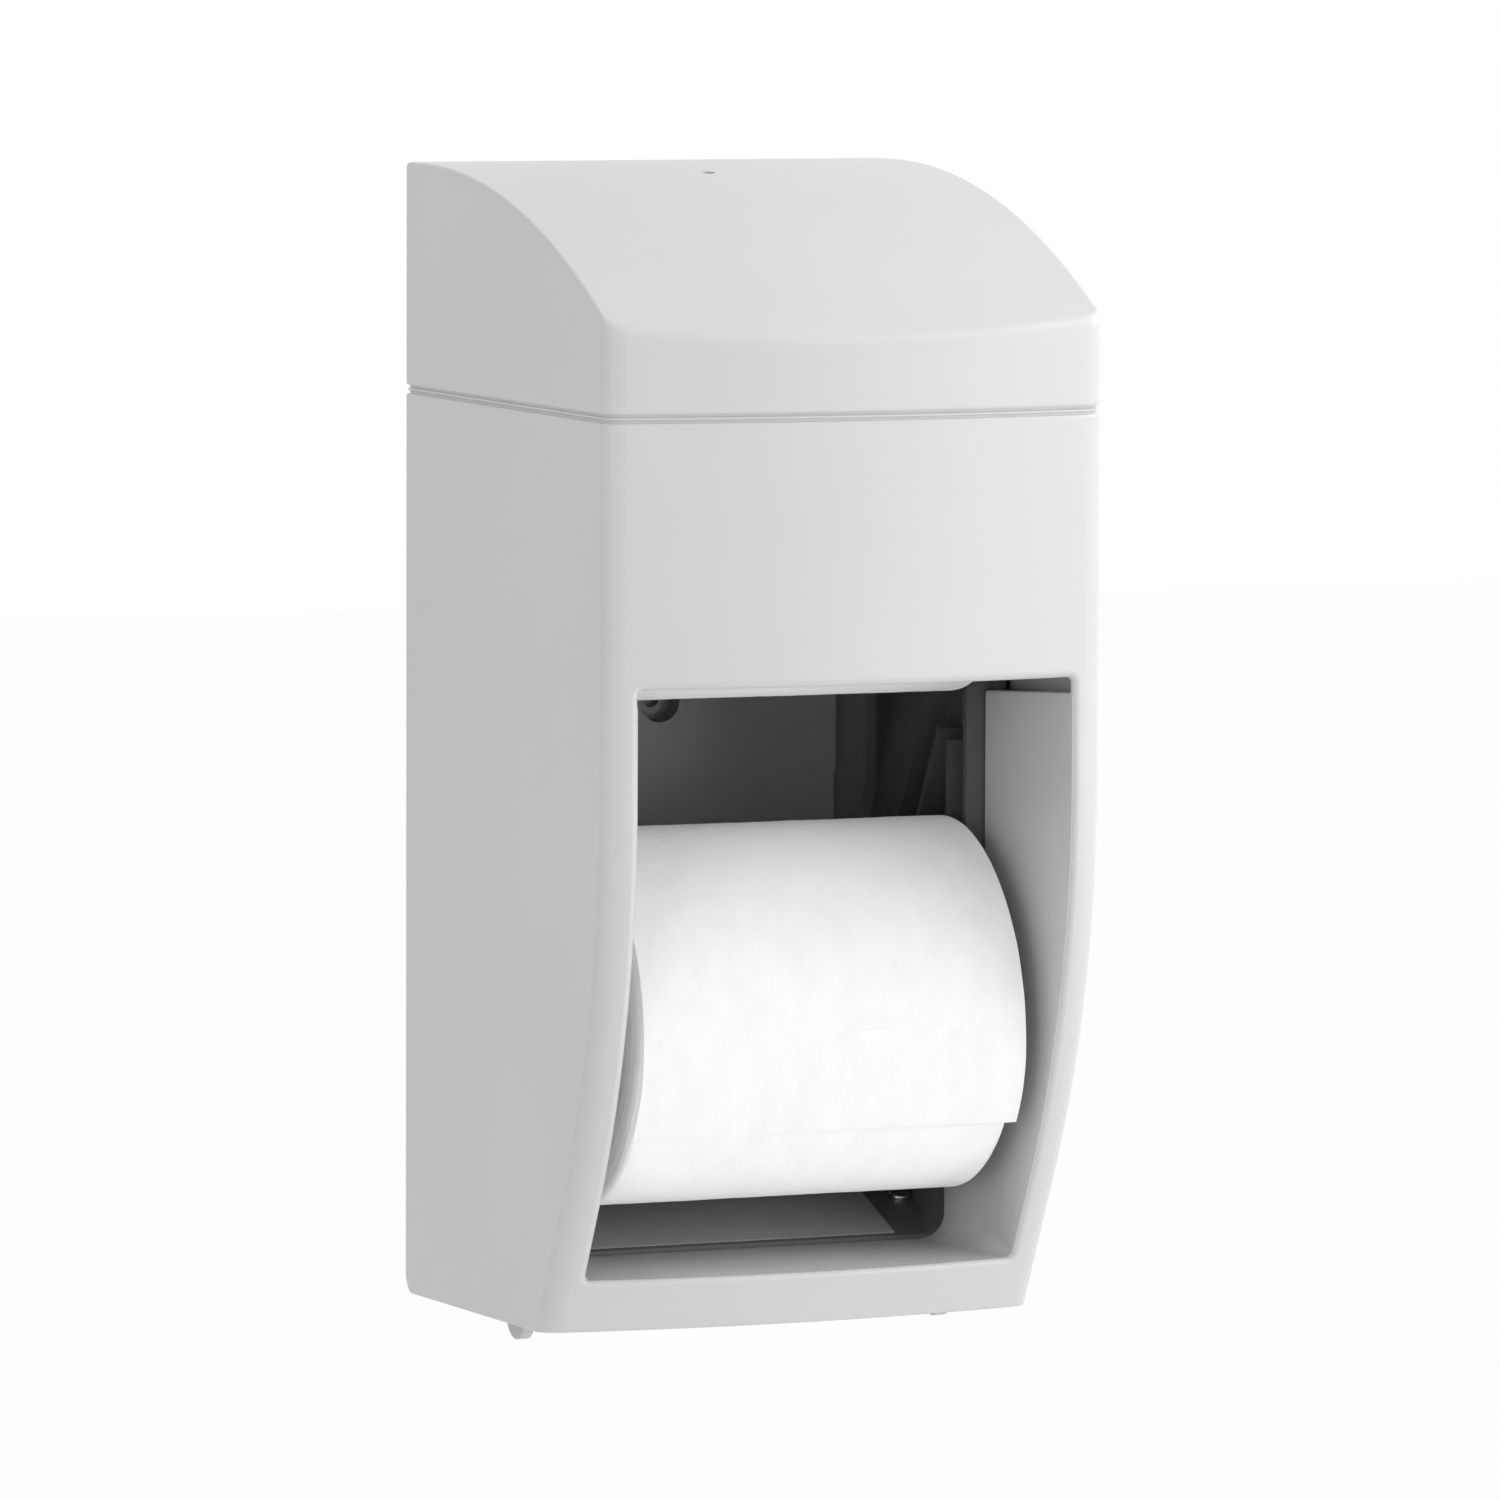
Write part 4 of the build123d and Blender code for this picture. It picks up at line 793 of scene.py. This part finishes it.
class Shader:
    """A node material round one Principled shader, whose other sockets are given by name."""

    def __init__(self, name, color, roughness, metallic=0.0, **sockets):
        self.material = bpy.data.materials.new(name)
        self.material.use_nodes = True
        self.nodes = self.material.node_tree.nodes
        self.links = self.material.node_tree.links
        self.nodes.clear()
        self.shader = self.nodes.new("ShaderNodeBsdfPrincipled")
        out = self.nodes.new("ShaderNodeOutputMaterial")
        self.links.new(self.shader.outputs[0], out.inputs[0])
        self.shader.inputs["Base Color"].default_value = (*color, 1.0)
        self.shader.inputs["Roughness"].default_value = roughness
        self.shader.inputs["Metallic"].default_value = metallic
        for key, value in sockets.items():
            self.shader.inputs[key.replace("_", " ")].default_value = value
        self.coords = self.nodes.new("ShaderNodeTexCoord").outputs["Object"]
        self.height = None

    def stretched(self, scale, coords=None):
        mapping = self.nodes.new("ShaderNodeMapping")
        mapping.inputs["Scale"].default_value = scale
        self.links.new(coords or self.coords, mapping.inputs["Vector"])
        return mapping.outputs["Vector"]

    def noise(self, scale, detail=3.0, roughness=0.55, coords=None):
        node = self.nodes.new("ShaderNodeTexNoise")
        node.inputs["Scale"].default_value = scale
        node.inputs["Detail"].default_value = detail
        node.inputs["Roughness"].default_value = roughness
        self.links.new(coords or self.coords, node.inputs["Vector"])
        return node.outputs["Fac"]

    def ramp(self, value, low, high, out_low, out_high):
        """The value between low and high, spread over another range."""
        node = self.nodes.new("ShaderNodeMapRange")
        for key, number in (("From Min", low), ("From Max", high), ("To Min", out_low), ("To Max", out_high)):
            node.inputs[key].default_value = number
        self.links.new(value, node.inputs["Value"])
        return node.outputs["Result"]

    def feed(self, socket, value):
        """Gives a socket a number or a colour, or links another node's output to it."""
        if isinstance(value, (int, float)):
            socket.default_value = value
        elif isinstance(value, tuple):
            socket.default_value = (*value, 1.0)
        else:
            self.links.new(value, socket)

    def math(self, kind, *values):
        node = self.nodes.new("ShaderNodeMath")
        node.operation = kind
        for socket, value in zip(node.inputs, values):
            self.feed(socket, value)
        return node.outputs[0]

    def drift(self, value, dark, light):
        """A colour that wanders between two with a noise value."""
        return self.colors(self.ramp(value, 0.35, 0.65, 0.0, 1.0), dark, light)

    def colors(self, value, dark, light):
        node = self.nodes.new("ShaderNodeMix")
        node.data_type = "RGBA"
        for key, given in (("A", dark), ("B", light), ("Factor", value)):
            self.feed(node.inputs[key], given)
        return node.outputs["Result"]

    def paint(self, socket, source):
        self.links.new(source, self.shader.inputs[socket])

    def bump(self, value, distance, strength=1.0):
        node = self.nodes.new("ShaderNodeBump")
        node.inputs["Distance"].default_value = distance
        node.inputs["Strength"].default_value = strength
        self.links.new(value, node.inputs["Height"])
        if self.height is not None:
            self.links.new(self.height, node.inputs["Normal"])
        self.height = node.outputs["Normal"]
        self.links.new(self.height, self.shader.inputs["Normal"])


# Painted shade: the side frames' dark tone stands in for the shade inside the cover, and turns paler at their
# foot below the cover and at their rear flange. Places in metres of the row frame
FOOT_BELOW_PAINTED_SHADE = (-0.163, -0.167)
FLANGE_BEHIND_PAINTED_SHADE = (-0.016, -0.012)


def grey(value):
    """A grey with the trace of blue that the plastics and steels have."""
    return value, value, value * 1.004


def plastic(name, value, roughness, grain=1500.0, grain_depth=0.00003, gloss=0.5, others=()):
    """Moulded plastic: slow drifts in tone, patchy gloss, a moulded grain and a few faint rubs.

    Each of the others is an axis, two places on it between which the tone changes, and its new tone. The side
    frames use this to end their painted shade.
    """
    s = Shader(name, grey(value), roughness, IOR=1.5, Specular_IOR_Level=gloss)
    drift = s.noise(9.0, 4.0)
    tone = s.colors(s.ramp(drift, 0.3, 0.7, 0.0, 1.0), grey(value * 0.975), grey(value * 1.02))
    for axis, places, other in others:
        parts = s.nodes.new("ShaderNodeSeparateXYZ")
        s.links.new(s.coords, parts.inputs[0])
        tone = s.colors(s.ramp(parts.outputs[axis], *places, 0.0, 1.0), tone, grey(other))
    s.paint("Base Color", tone)
    rubs = s.noise(160.0, 5.0, 0.7, s.stretched((1.0, 0.25, 0.6)))
    gloss_drift = s.ramp(s.noise(35.0, 4.0), 0.3, 0.7, -0.035, 0.035)
    rub = s.ramp(rubs, 0.62, 0.78, 0.0, 0.09)
    s.paint("Roughness", s.math("ADD", s.math("ADD", gloss_drift, roughness), rub))
    s.bump(s.noise(28.0, 2.0), 0.00035, 0.25)
    s.bump(s.noise(grain, 3.0, 0.6), grain_depth, 0.6)
    return s.material


def metal(name, value, roughness, lines):
    """Plated or drawn steel with fine lines in its gloss and a slow change in tone."""
    s = Shader(name, grey(value), roughness, 1.0)
    fine = s.noise(lines, 4.0, 0.6, s.stretched((0.12, 1.0, 1.0)))
    s.paint("Base Color", s.drift(s.noise(60.0), grey(value * 0.9), grey(value * 1.06)))
    s.paint("Roughness", s.ramp(fine, 0.3, 0.7, roughness * 0.75, roughness * 1.35))
    s.bump(fine, 0.00002, 0.5)
    return s.material


def tissue_paper(name, axis_height):
    """Soft white paper: creping round the roll, faint pillows, and the layers at the ends."""
    s = Shader(name, (0.935, 0.935, 0.933), 0.95, IOR=1.4, Specular_IOR_Level=0.15,
               Sheen_Weight=0.35, Sheen_Roughness=0.6, Diffuse_Roughness=0.9)
    parts = s.nodes.new("ShaderNodeSeparateXYZ")
    s.links.new(s.coords, parts.inputs[0])
    y = s.math("ADD", parts.outputs["Y"], ROLL_DEPTH * MM)
    z = s.math("SUBTRACT", parts.outputs["Z"], (axis_height - HEIGHT / 2) * MM)
    angle = s.math("MULTIPLY", s.math("ARCTAN2", z, y), ROLL_RADIUS * MM)
    radius = s.math("SQRT", s.math("ADD", s.math("MULTIPLY", y, y), s.math("MULTIPLY", z, z)))
    wrapped = s.nodes.new("ShaderNodeCombineXYZ")
    for socket, value in zip(wrapped.inputs, (parts.outputs["X"], angle, radius)):
        s.links.new(value, socket)
    wrapped = wrapped.outputs[0]
    crepe = s.noise(620.0, 4.0, 0.62, s.stretched((1.0, 0.4, 1.0), wrapped))
    pillows = s.noise(150.0, 2.0, 0.5, s.stretched((1.0, 0.55, 0.4), wrapped))
    layers = s.noise(1900.0, 3.0, 0.7, s.stretched((0.02, 0.02, 1.0), wrapped))
    folds = s.noise(34.0, 3.0, 0.5, s.stretched((1.0, 0.3, 0.2), wrapped))
    s.bump(folds, 0.0012, 0.35)
    s.bump(pillows, 0.0005, 0.6)
    s.bump(layers, 0.00025, 0.5)
    s.bump(crepe, 0.00012, 0.5)
    tone = s.math("ADD", s.math("MULTIPLY", pillows, 0.6), s.math("MULTIPLY", crepe, 0.4))
    s.paint("Base Color", s.drift(tone, (0.915, 0.915, 0.912), (0.955, 0.955, 0.954)))
    return s.material


def cardboard():
    """Raw board with fibres along it."""
    s = Shader("core_board", (0.42, 0.32, 0.22), 0.9)
    fibres = s.noise(900.0, 4.0, 0.6, s.stretched((0.35, 1.0, 1.0)))
    s.paint("Base Color", s.drift(fibres, (0.34, 0.25, 0.17), (0.50, 0.40, 0.29)))
    s.bump(fibres, 0.00008, 0.5)
    return s.material


def label_film():
    """A bare satin label."""
    s = Shader("label_film", grey(0.52), 0.42)
    s.paint("Base Color", s.drift(s.noise(14.0), grey(0.49), grey(0.55)))
    s.paint("Roughness", s.ramp(s.noise(90.0, 3.0), 0.35, 0.65, 0.36, 0.5))
    s.bump(s.noise(45.0, 2.0), 0.0002, 0.2)
    return s.material


COVER = plastic("cover_abs", 0.60, 0.38, 2600.0, 0.000012, 0.36)
INNER = plastic("inner_abs", 0.52, 0.48)
TRAY = plastic("tray_abs", 0.16, 0.45)
# The side frames' dark tone is painted shade; it turns paler below their foot and at the rear flange.
FRAME_PAINTED_SHADE_LIMITS = (("Z", FOOT_BELOW_PAINTED_SHADE, 0.52), ("Y", FLANGE_BEHIND_PAINTED_SHADE, 0.34))
FRAME = plastic("frame_abs", 0.11, 0.45, others=FRAME_PAINTED_SHADE_LIMITS)
LEVER = plastic("lever_abs", 0.24, 0.45)
SPINDLE = plastic("spindle_abs", 0.42, 0.42)
STEEL = metal("zinc_steel", 0.62, 0.3, 2200.0)
DARK_STEEL = metal("pin_steel", 0.55, 0.24, 2600.0)
SCREW = metal("screw_steel", 0.5, 0.34, 2400.0)
SPRING = metal("spring_steel", 0.58, 0.26, 2600.0)
BOARD = cardboard()
FILM = label_film()
LOWER_PAPER = tissue_paper("tissue_low", LOWER_AXIS)
UPPER_PAPER = tissue_paper("tissue_high", UPPER_AXIS)

# The nodes that show as softened copies: names, material, slot, body and edge width
SOFTENED = (
    (("back_plate",), INNER, "inner_plastic", "wall_unit", 0.5),
    (("side_frame_left", "side_frame_right"), FRAME, "inner_plastic", "wall_unit", 0.4),
    (("bottom_tray",), TRAY, "inner_plastic", "wall_unit", 0.4),
    (("latch_bracket",), COVER, "cover_plastic", "cover", 0.3),
    (("latch_lever",), LEVER, "lever_plastic", "latch", 0.4),
    (("release_arm_left", "release_arm_right"), LEVER, "lever_plastic", "yoke", 0.5),
    (("lower_spindle",), SPINDLE, "spindle_plastic", "lower_spindle", 0.35),
    (("upper_spindle",), SPINDLE, "spindle_plastic", "upper_spindle", 0.35),
    (("latch_keeper",), STEEL, "plated_steel", "wall_unit", 0.2),
    (("instruction_label",), FILM, "label", "wall_unit", 0.1),
    (("frame_screws", "tray_screws", "keeper_screws"), SCREW, "screw_steel", "wall_unit", 0.12),
    (("hinge_pins",), DARK_STEEL, "pin_steel", "wall_unit", 0.25),
    (("yoke_pins",), DARK_STEEL, "pin_steel", "wall_unit", 0.2),
    (("latch_pin",), DARK_STEEL, "pin_steel", "cover", 0.2),
    (("release_rod",), DARK_STEEL, "pin_steel", "yoke", 0.3),
    (("lower_core",), BOARD, "cardboard", "lower_roll", 0.2),
    (("upper_core",), BOARD, "cardboard", "upper_roll", 0.2),
)
NODE_LOOK = {node: look for nodes, look, *_ in SOFTENED for node in nodes}
NODE_LOOK.update(cover_shell=COVER, cover_cap=COVER, latch_spring=SPRING)
NODE_LOOK.update(lower_tissue=LOWER_PAPER, upper_tissue=UPPER_PAPER)
for node, look in NODE_LOOK.items():
    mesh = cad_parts[node].data
    mesh.materials.clear()
    mesh.materials.append(look)


# The pieces that have mesh code of their own


def finished(piece):
    """Weighted normals, so that flat faces stay flat beside narrow rounded edges."""
    piece.modifiers.new("normals", "WEIGHTED_NORMAL").keep_sharp = True


def cover_piece(name, node, nets):
    """One piece of the cover, which stands for a node with the others of that node."""
    finished(new_piece(name, *join(*nets), "cover", COVER, "cover_plastic", [node]))


cover_piece("shell_skin", "cover_shell", [shell_skin()])
cover_piece("cap_skin", "cover_cap", [cap_skin()])
cover_piece("paper_guides", "cover_shell", [guide(1), guide(-1)])
cover_piece("sill_shelf", "cover_shell", sill())
cover_piece("sill_corners", "cover_shell", [side_blend(1), side_blend(-1)])
finished(new_piece("tray_cheeks", *join(cheek(1), cheek(-1)), "wall_unit", TRAY, "inner_plastic"))
finished(new_piece("hole_webs", *join(*hole_webs()), "wall_unit", INNER, "inner_plastic"))
cover_piece("hinge_knuckles", "cover_shell", [knuckle(1), knuckle(-1)])


# Copies of the CAD's nodes, with their edges softened


MERGE_DISTANCE = 2e-6
FLAT_ANGLE = math.radians(0.4)
EDGE_ANGLE = math.radians(38.0)
SMOOTH_TO = 32


def softened(node, look, slot, body, width):
    """A copy of a CAD node with its edges rounded, standing for the node."""
    form = bmesh.new()
    form.from_mesh(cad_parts[node].data)
    bmesh.ops.remove_doubles(form, verts=form.verts, dist=MERGE_DISTANCE)
    bmesh.ops.dissolve_limit(form, angle_limit=FLAT_ANGLE, verts=form.verts, edges=form.edges)
    edges = [e for e in form.edges if len(e.link_faces) == 2 and e.calc_face_angle(0.0) > EDGE_ANGLE]
    bmesh.ops.bevel(form, geom=edges, offset=width * MM, segments=2, profile=0.5, affect="EDGES",
                    clamp_overlap=True)
    mesh = bpy.data.meshes.new(node + "_soft")
    form.to_mesh(mesh)
    form.free()
    finished(placed(node + "_soft", mesh, body, look, slot, [node], SMOOTH_TO))


for nodes, *looks in SOFTENED:
    for node in nodes:
        softened(node, *looks)


# Tissue rolls

AROUND = 288
ROLL_END = ROLL_HALF - 0.4
ROLL_SKIN = ROLL_RADIUS - 0.3
SHOULDER = 1.5
SHOULDER_STEPS = 6
BORE_GAP = 0.15
LAYERS = 34
LENGTH_STEPS = 58
LUMP = 0.35


def hand_wound(angle, x, seed):
    """How far the paper lies off a true cylinder: broad lumps, and soft folds that run round the roll."""
    c, s = math.cos(angle), math.sin(angle)
    broad = noise.noise((c * 1.1 + seed, s * 1.1, x * 0.018))
    fold = noise.noise((c * 2.6, s * 2.6 + seed, x * 0.11))
    crease = noise.noise((c * 7.0 + seed, s * 7.0, x * 0.3))
    return 0.42 * broad + 0.24 * fold + 0.2 * crease


def roll_body(axis_height, seed):
    """A wound roll: creased outside, soft shoulders, and layers that stand out a little at its ends."""
    random.seed(int(seed))
    net = Net()
    layers = []
    for k in range(LAYERS + 1):
        r = CORE_RADIUS + BORE_GAP + (ROLL_SKIN - SHOULDER - 0.2 - CORE_RADIUS - BORE_GAP) * k / LAYERS
        layers.append((r, random.uniform(-0.14, 0.14), random.uniform(-0.1, 0.1)))

    def ring(x_of, r_of):
        made = []
        for k in range(AROUND):
            a = 2 * math.pi * k / AROUND
            made.append((x_of(a), -ROLL_DEPTH - r_of(a) * math.cos(a), axis_height + r_of(a) * math.sin(a)))
        return made + [made[0]]

    def end_ring(side, r, lift, lean):
        dish = 0.45 * (1 - smooth(CORE_RADIUS, CORE_RADIUS + 9, r))

        def x_of(a):
            wave = 0.18 * noise.noise((math.cos(a) * 1.6 + seed, math.sin(a) * 1.6, r * 0.09))
            return side * (ROLL_END - dish + lift + wave + lean * math.cos(a + r))

        return ring(x_of, lambda a: r)

    def outer_ring(x, drop=0.0):
        return ring(lambda a: x, lambda a: ROLL_SKIN - drop + LUMP * hand_wound(a, x, seed))

    rings = []
    for side in (-1, 1):
        end = [end_ring(side, *layer) for layer in layers]
        for k in range(SHOULDER_STEPS + 1):
            a = math.pi / 2 * k / SHOULDER_STEPS
            x = side * (ROLL_END - SHOULDER * (1 - math.cos(a)))
            end.append(outer_ring(x, SHOULDER * (1 - math.sin(a))))
        if side < 0:
            rings += end
            flat = ROLL_END - SHOULDER
            rings += [outer_ring(-flat + 2 * flat * k / LENGTH_STEPS) for k in range(1, LENGTH_STEPS)]
        else:
            rings += reversed(end)
    net.grid(rings)
    net.strip(rings[-1], rings[0])
    return net


SHEET_START = math.radians(150.0)
SHEET_END = math.radians(-33.0)
SHEET_THICK = 0.16
SHEET_INSET = 0.35
SHEET_ALONG = 120
SHEET_ACROSS = 72


def loose_sheet(axis_height, seed):
    """The roll's last turn: it works loose towards its free edge, and lies a little to the right there."""
    net = Net()
    outer, inner = [], []
    for j in range(SHEET_ALONG + 1):
        share = j / SHEET_ALONG
        angle = SHEET_START + (SHEET_END - SHEET_START) * share
        loose = smooth(0.35, 1.0, share)
        top, bottom = [], []
        for i in range(SHEET_ACROSS + 1):
            u = i / SHEET_ACROSS
            ragged = 0.35 * noise.noise((u * 9.0, seed, 0.0)) + 0.15 * noise.noise((u * 41.0, seed, 3.0))
            a = angle + (ragged * 0.012 if j == SHEET_ALONG else 0.0)
            side_seed = seed + (2.0 if u < 0.5 else 7.0)
            edge = 0.12 * noise.noise((share * 14.0, side_seed, 0.0)) * abs(2 * u - 1) ** 6
            x = -ROLL_HALF + SHEET_INSET + (2 * ROLL_HALF - 2 * SHEET_INSET) * u
            x = x + (0.5 + 2.0 * u) * loose * loose + edge
            r = ROLL_RADIUS - 0.1 + LUMP * hand_wound(angle, x, seed) + 0.15 * smooth(0.0, 0.15, share)
            r += 0.3 * loose * loose + 0.14 * loose * noise.noise((u * 5.0, share * 7.0, seed))
            r += smooth(0.9, 1.0, share) * (0.5 * u**3 - 0.25)
            r -= 1.2 * (1 - smooth(0.0, 0.08, share))
            for rows, radius in ((top, r), (bottom, r - SHEET_THICK)):
                rows.append((x, -ROLL_DEPTH - radius * math.cos(a), axis_height + radius * math.sin(a)))
        outer.append(top)
        inner.append(bottom)
    net.grid(outer)
    net.grid(inner, flip=True)
    net.strip(outer[-1], inner[-1])
    net.strip(inner[0], outer[0])
    for end, flip in ((0, False), (-1, True)):
        net.strip([row[end] for row in outer], [row[end] for row in inner], flip)
    return net


ROLLS = (("lower", LOWER_AXIS, LOWER_PAPER, 11.0), ("upper", UPPER_AXIS, UPPER_PAPER, 29.0))
for place, axis, paper, seed in ROLLS:
    body, node = place + "_roll", place + "_tissue"
    for name, net in (("_roll_paper", roll_body(axis, seed)), ("_last_turn", loose_sheet(axis, seed))):
        new_piece(place + name, *join(net), body, paper, "tissue", [node], 50.0)


# Light, floor and camera


LIT_POINT = Vector((0.0, -0.09, 0.0))
AMBIENT = 0.62
FLOOR_REACH = 9.0
FLOOR_HEIGHT = -0.72
FLOOR_TONE = 0.86
FLOOR_WHITE_SHARE = 0.96


def aimed(name, azimuth, elevation, distance, width, power, height):
    """A soft box at an azimuth to the right of straight ahead, and at an elevation."""
    a, e = math.radians(azimuth), math.radians(elevation)
    away = distance * Vector((math.sin(a) * math.cos(e), -math.cos(a) * math.cos(e), math.sin(e)))
    data = bpy.data.lights.new(name, "AREA")
    data.shape = "RECTANGLE"
    data.size = width
    data.size_y = height
    data.energy = power
    item = bpy.data.objects.new(name, data)
    item.location = LIT_POINT + away
    item.rotation_euler = (LIT_POINT - item.location).to_track_quat("-Z", "Y").to_euler()
    bpy.context.scene.collection.objects.link(item)


aimed("key", 50.0, 10.0, 1.6, 0.8, 6.9, 1.08)
aimed("high_right", 80.0, 42.0, 1.0, 0.5, 5.5, 0.68)
aimed("level_right", 26.0, -1.0, 1.9, 0.55, 3.6, 0.6)
aimed("under_right", 60.0, -22.0, 1.4, 0.7, 3.1, 0.95)
aimed("left_fill", -46.0, 4.0, 1.75, 0.8, 4.4, 1.08)
aimed("high_left", -60.0, 48.0, 1.75, 0.8, 1.8, 1.08)


def is_seen(tree):
    """1 where the camera sees the surface itself, or sees it in a mirror or through glass."""
    path = tree.nodes.new("ShaderNodeLightPath")
    total = path.outputs["Is Camera Ray"]
    for name in ("Is Glossy Ray", "Is Transmission Ray"):
        node = tree.nodes.new("ShaderNodeMath")
        node.operation = "MAXIMUM"
        tree.links.new(total, node.inputs[0])
        tree.links.new(path.outputs[name], node.inputs[1])
        total = node.outputs[0]
    return total


world = bpy.data.worlds.new("studio")
bpy.context.scene.world = world
world.use_nodes = True
tree = world.node_tree
background = tree.nodes["Background"]
background.inputs["Color"].default_value = (1.0, 1.0, 1.0, 1.0)
strength = tree.nodes.new("ShaderNodeMapRange")
strength.inputs["To Min"].default_value = AMBIENT
strength.inputs["To Max"].default_value = 1.0
tree.links.new(is_seen(tree), strength.inputs["Value"])
tree.links.new(strength.outputs["Result"], background.inputs["Strength"])

floor_mesh = bpy.data.meshes.new("floor")
corners = [(x * FLOOR_REACH, y * FLOOR_REACH, FLOOR_HEIGHT) for x, y in ((-1, -1), (1, -1), (1, 1), (-1, 1))]
floor_mesh.from_pydata(corners, [], [(0, 1, 2, 3)])
floor = bpy.data.objects.new("floor", floor_mesh)
bpy.context.scene.collection.objects.link(floor)
pale = bpy.data.materials.new("pale_floor")
pale.use_nodes = True
tree = pale.node_tree
diffuse = tree.nodes.new("ShaderNodeBsdfDiffuse")
diffuse.inputs["Color"].default_value = (FLOOR_TONE, FLOOR_TONE, FLOOR_TONE, 1.0)
glow = tree.nodes.new("ShaderNodeEmission")
glow.inputs["Strength"].default_value = 1.0
blend = tree.nodes.new("ShaderNodeMixShader")
seen = tree.nodes.new("ShaderNodeMath")
seen.operation = "MULTIPLY"
seen.inputs[1].default_value = FLOOR_WHITE_SHARE
tree.links.new(is_seen(tree), seen.inputs[0])
tree.links.new(seen.outputs[0], blend.inputs[0])
tree.links.new(diffuse.outputs[0], blend.inputs[1])
tree.links.new(glow.outputs[0], blend.inputs[2])
out = next(n for n in tree.nodes if n.type == "OUTPUT_MATERIAL")
tree.links.new(blend.outputs[0], out.inputs[0])
floor_mesh.materials.append(pale)

# The camera's place, direction and lens come from the fit to the photograph
CAMERA_PLACE = (-1.0595, -2.7009, 0.2632)
CAMERA_FORWARD = Vector((0.3738, 0.9228, -0.0932)).normalized()
CAMERA_ROLL = math.radians(0.23)
CAMERA_LENS = 228.97

scene = bpy.context.scene
scene.view_settings.view_transform = "Standard"
camera_data = bpy.data.cameras.new("camera")
camera_data.sensor_width = 36.0
camera_data.lens = CAMERA_LENS
camera_data.clip_end = 60.0
camera = bpy.data.objects.new("camera", camera_data)
scene.collection.objects.link(camera)
level = CAMERA_FORWARD.cross(Vector((0, 0, 1))).normalized()
upward = level.cross(CAMERA_FORWARD)
side = level * math.cos(CAMERA_ROLL) + upward * math.sin(CAMERA_ROLL)
top = upward * math.cos(CAMERA_ROLL) - level * math.sin(CAMERA_ROLL)
turn = Matrix((side, top, -CAMERA_FORWARD)).transposed().to_4x4()
camera.matrix_world = Matrix.Translation(CAMERA_PLACE) @ turn
scene.camera = camera
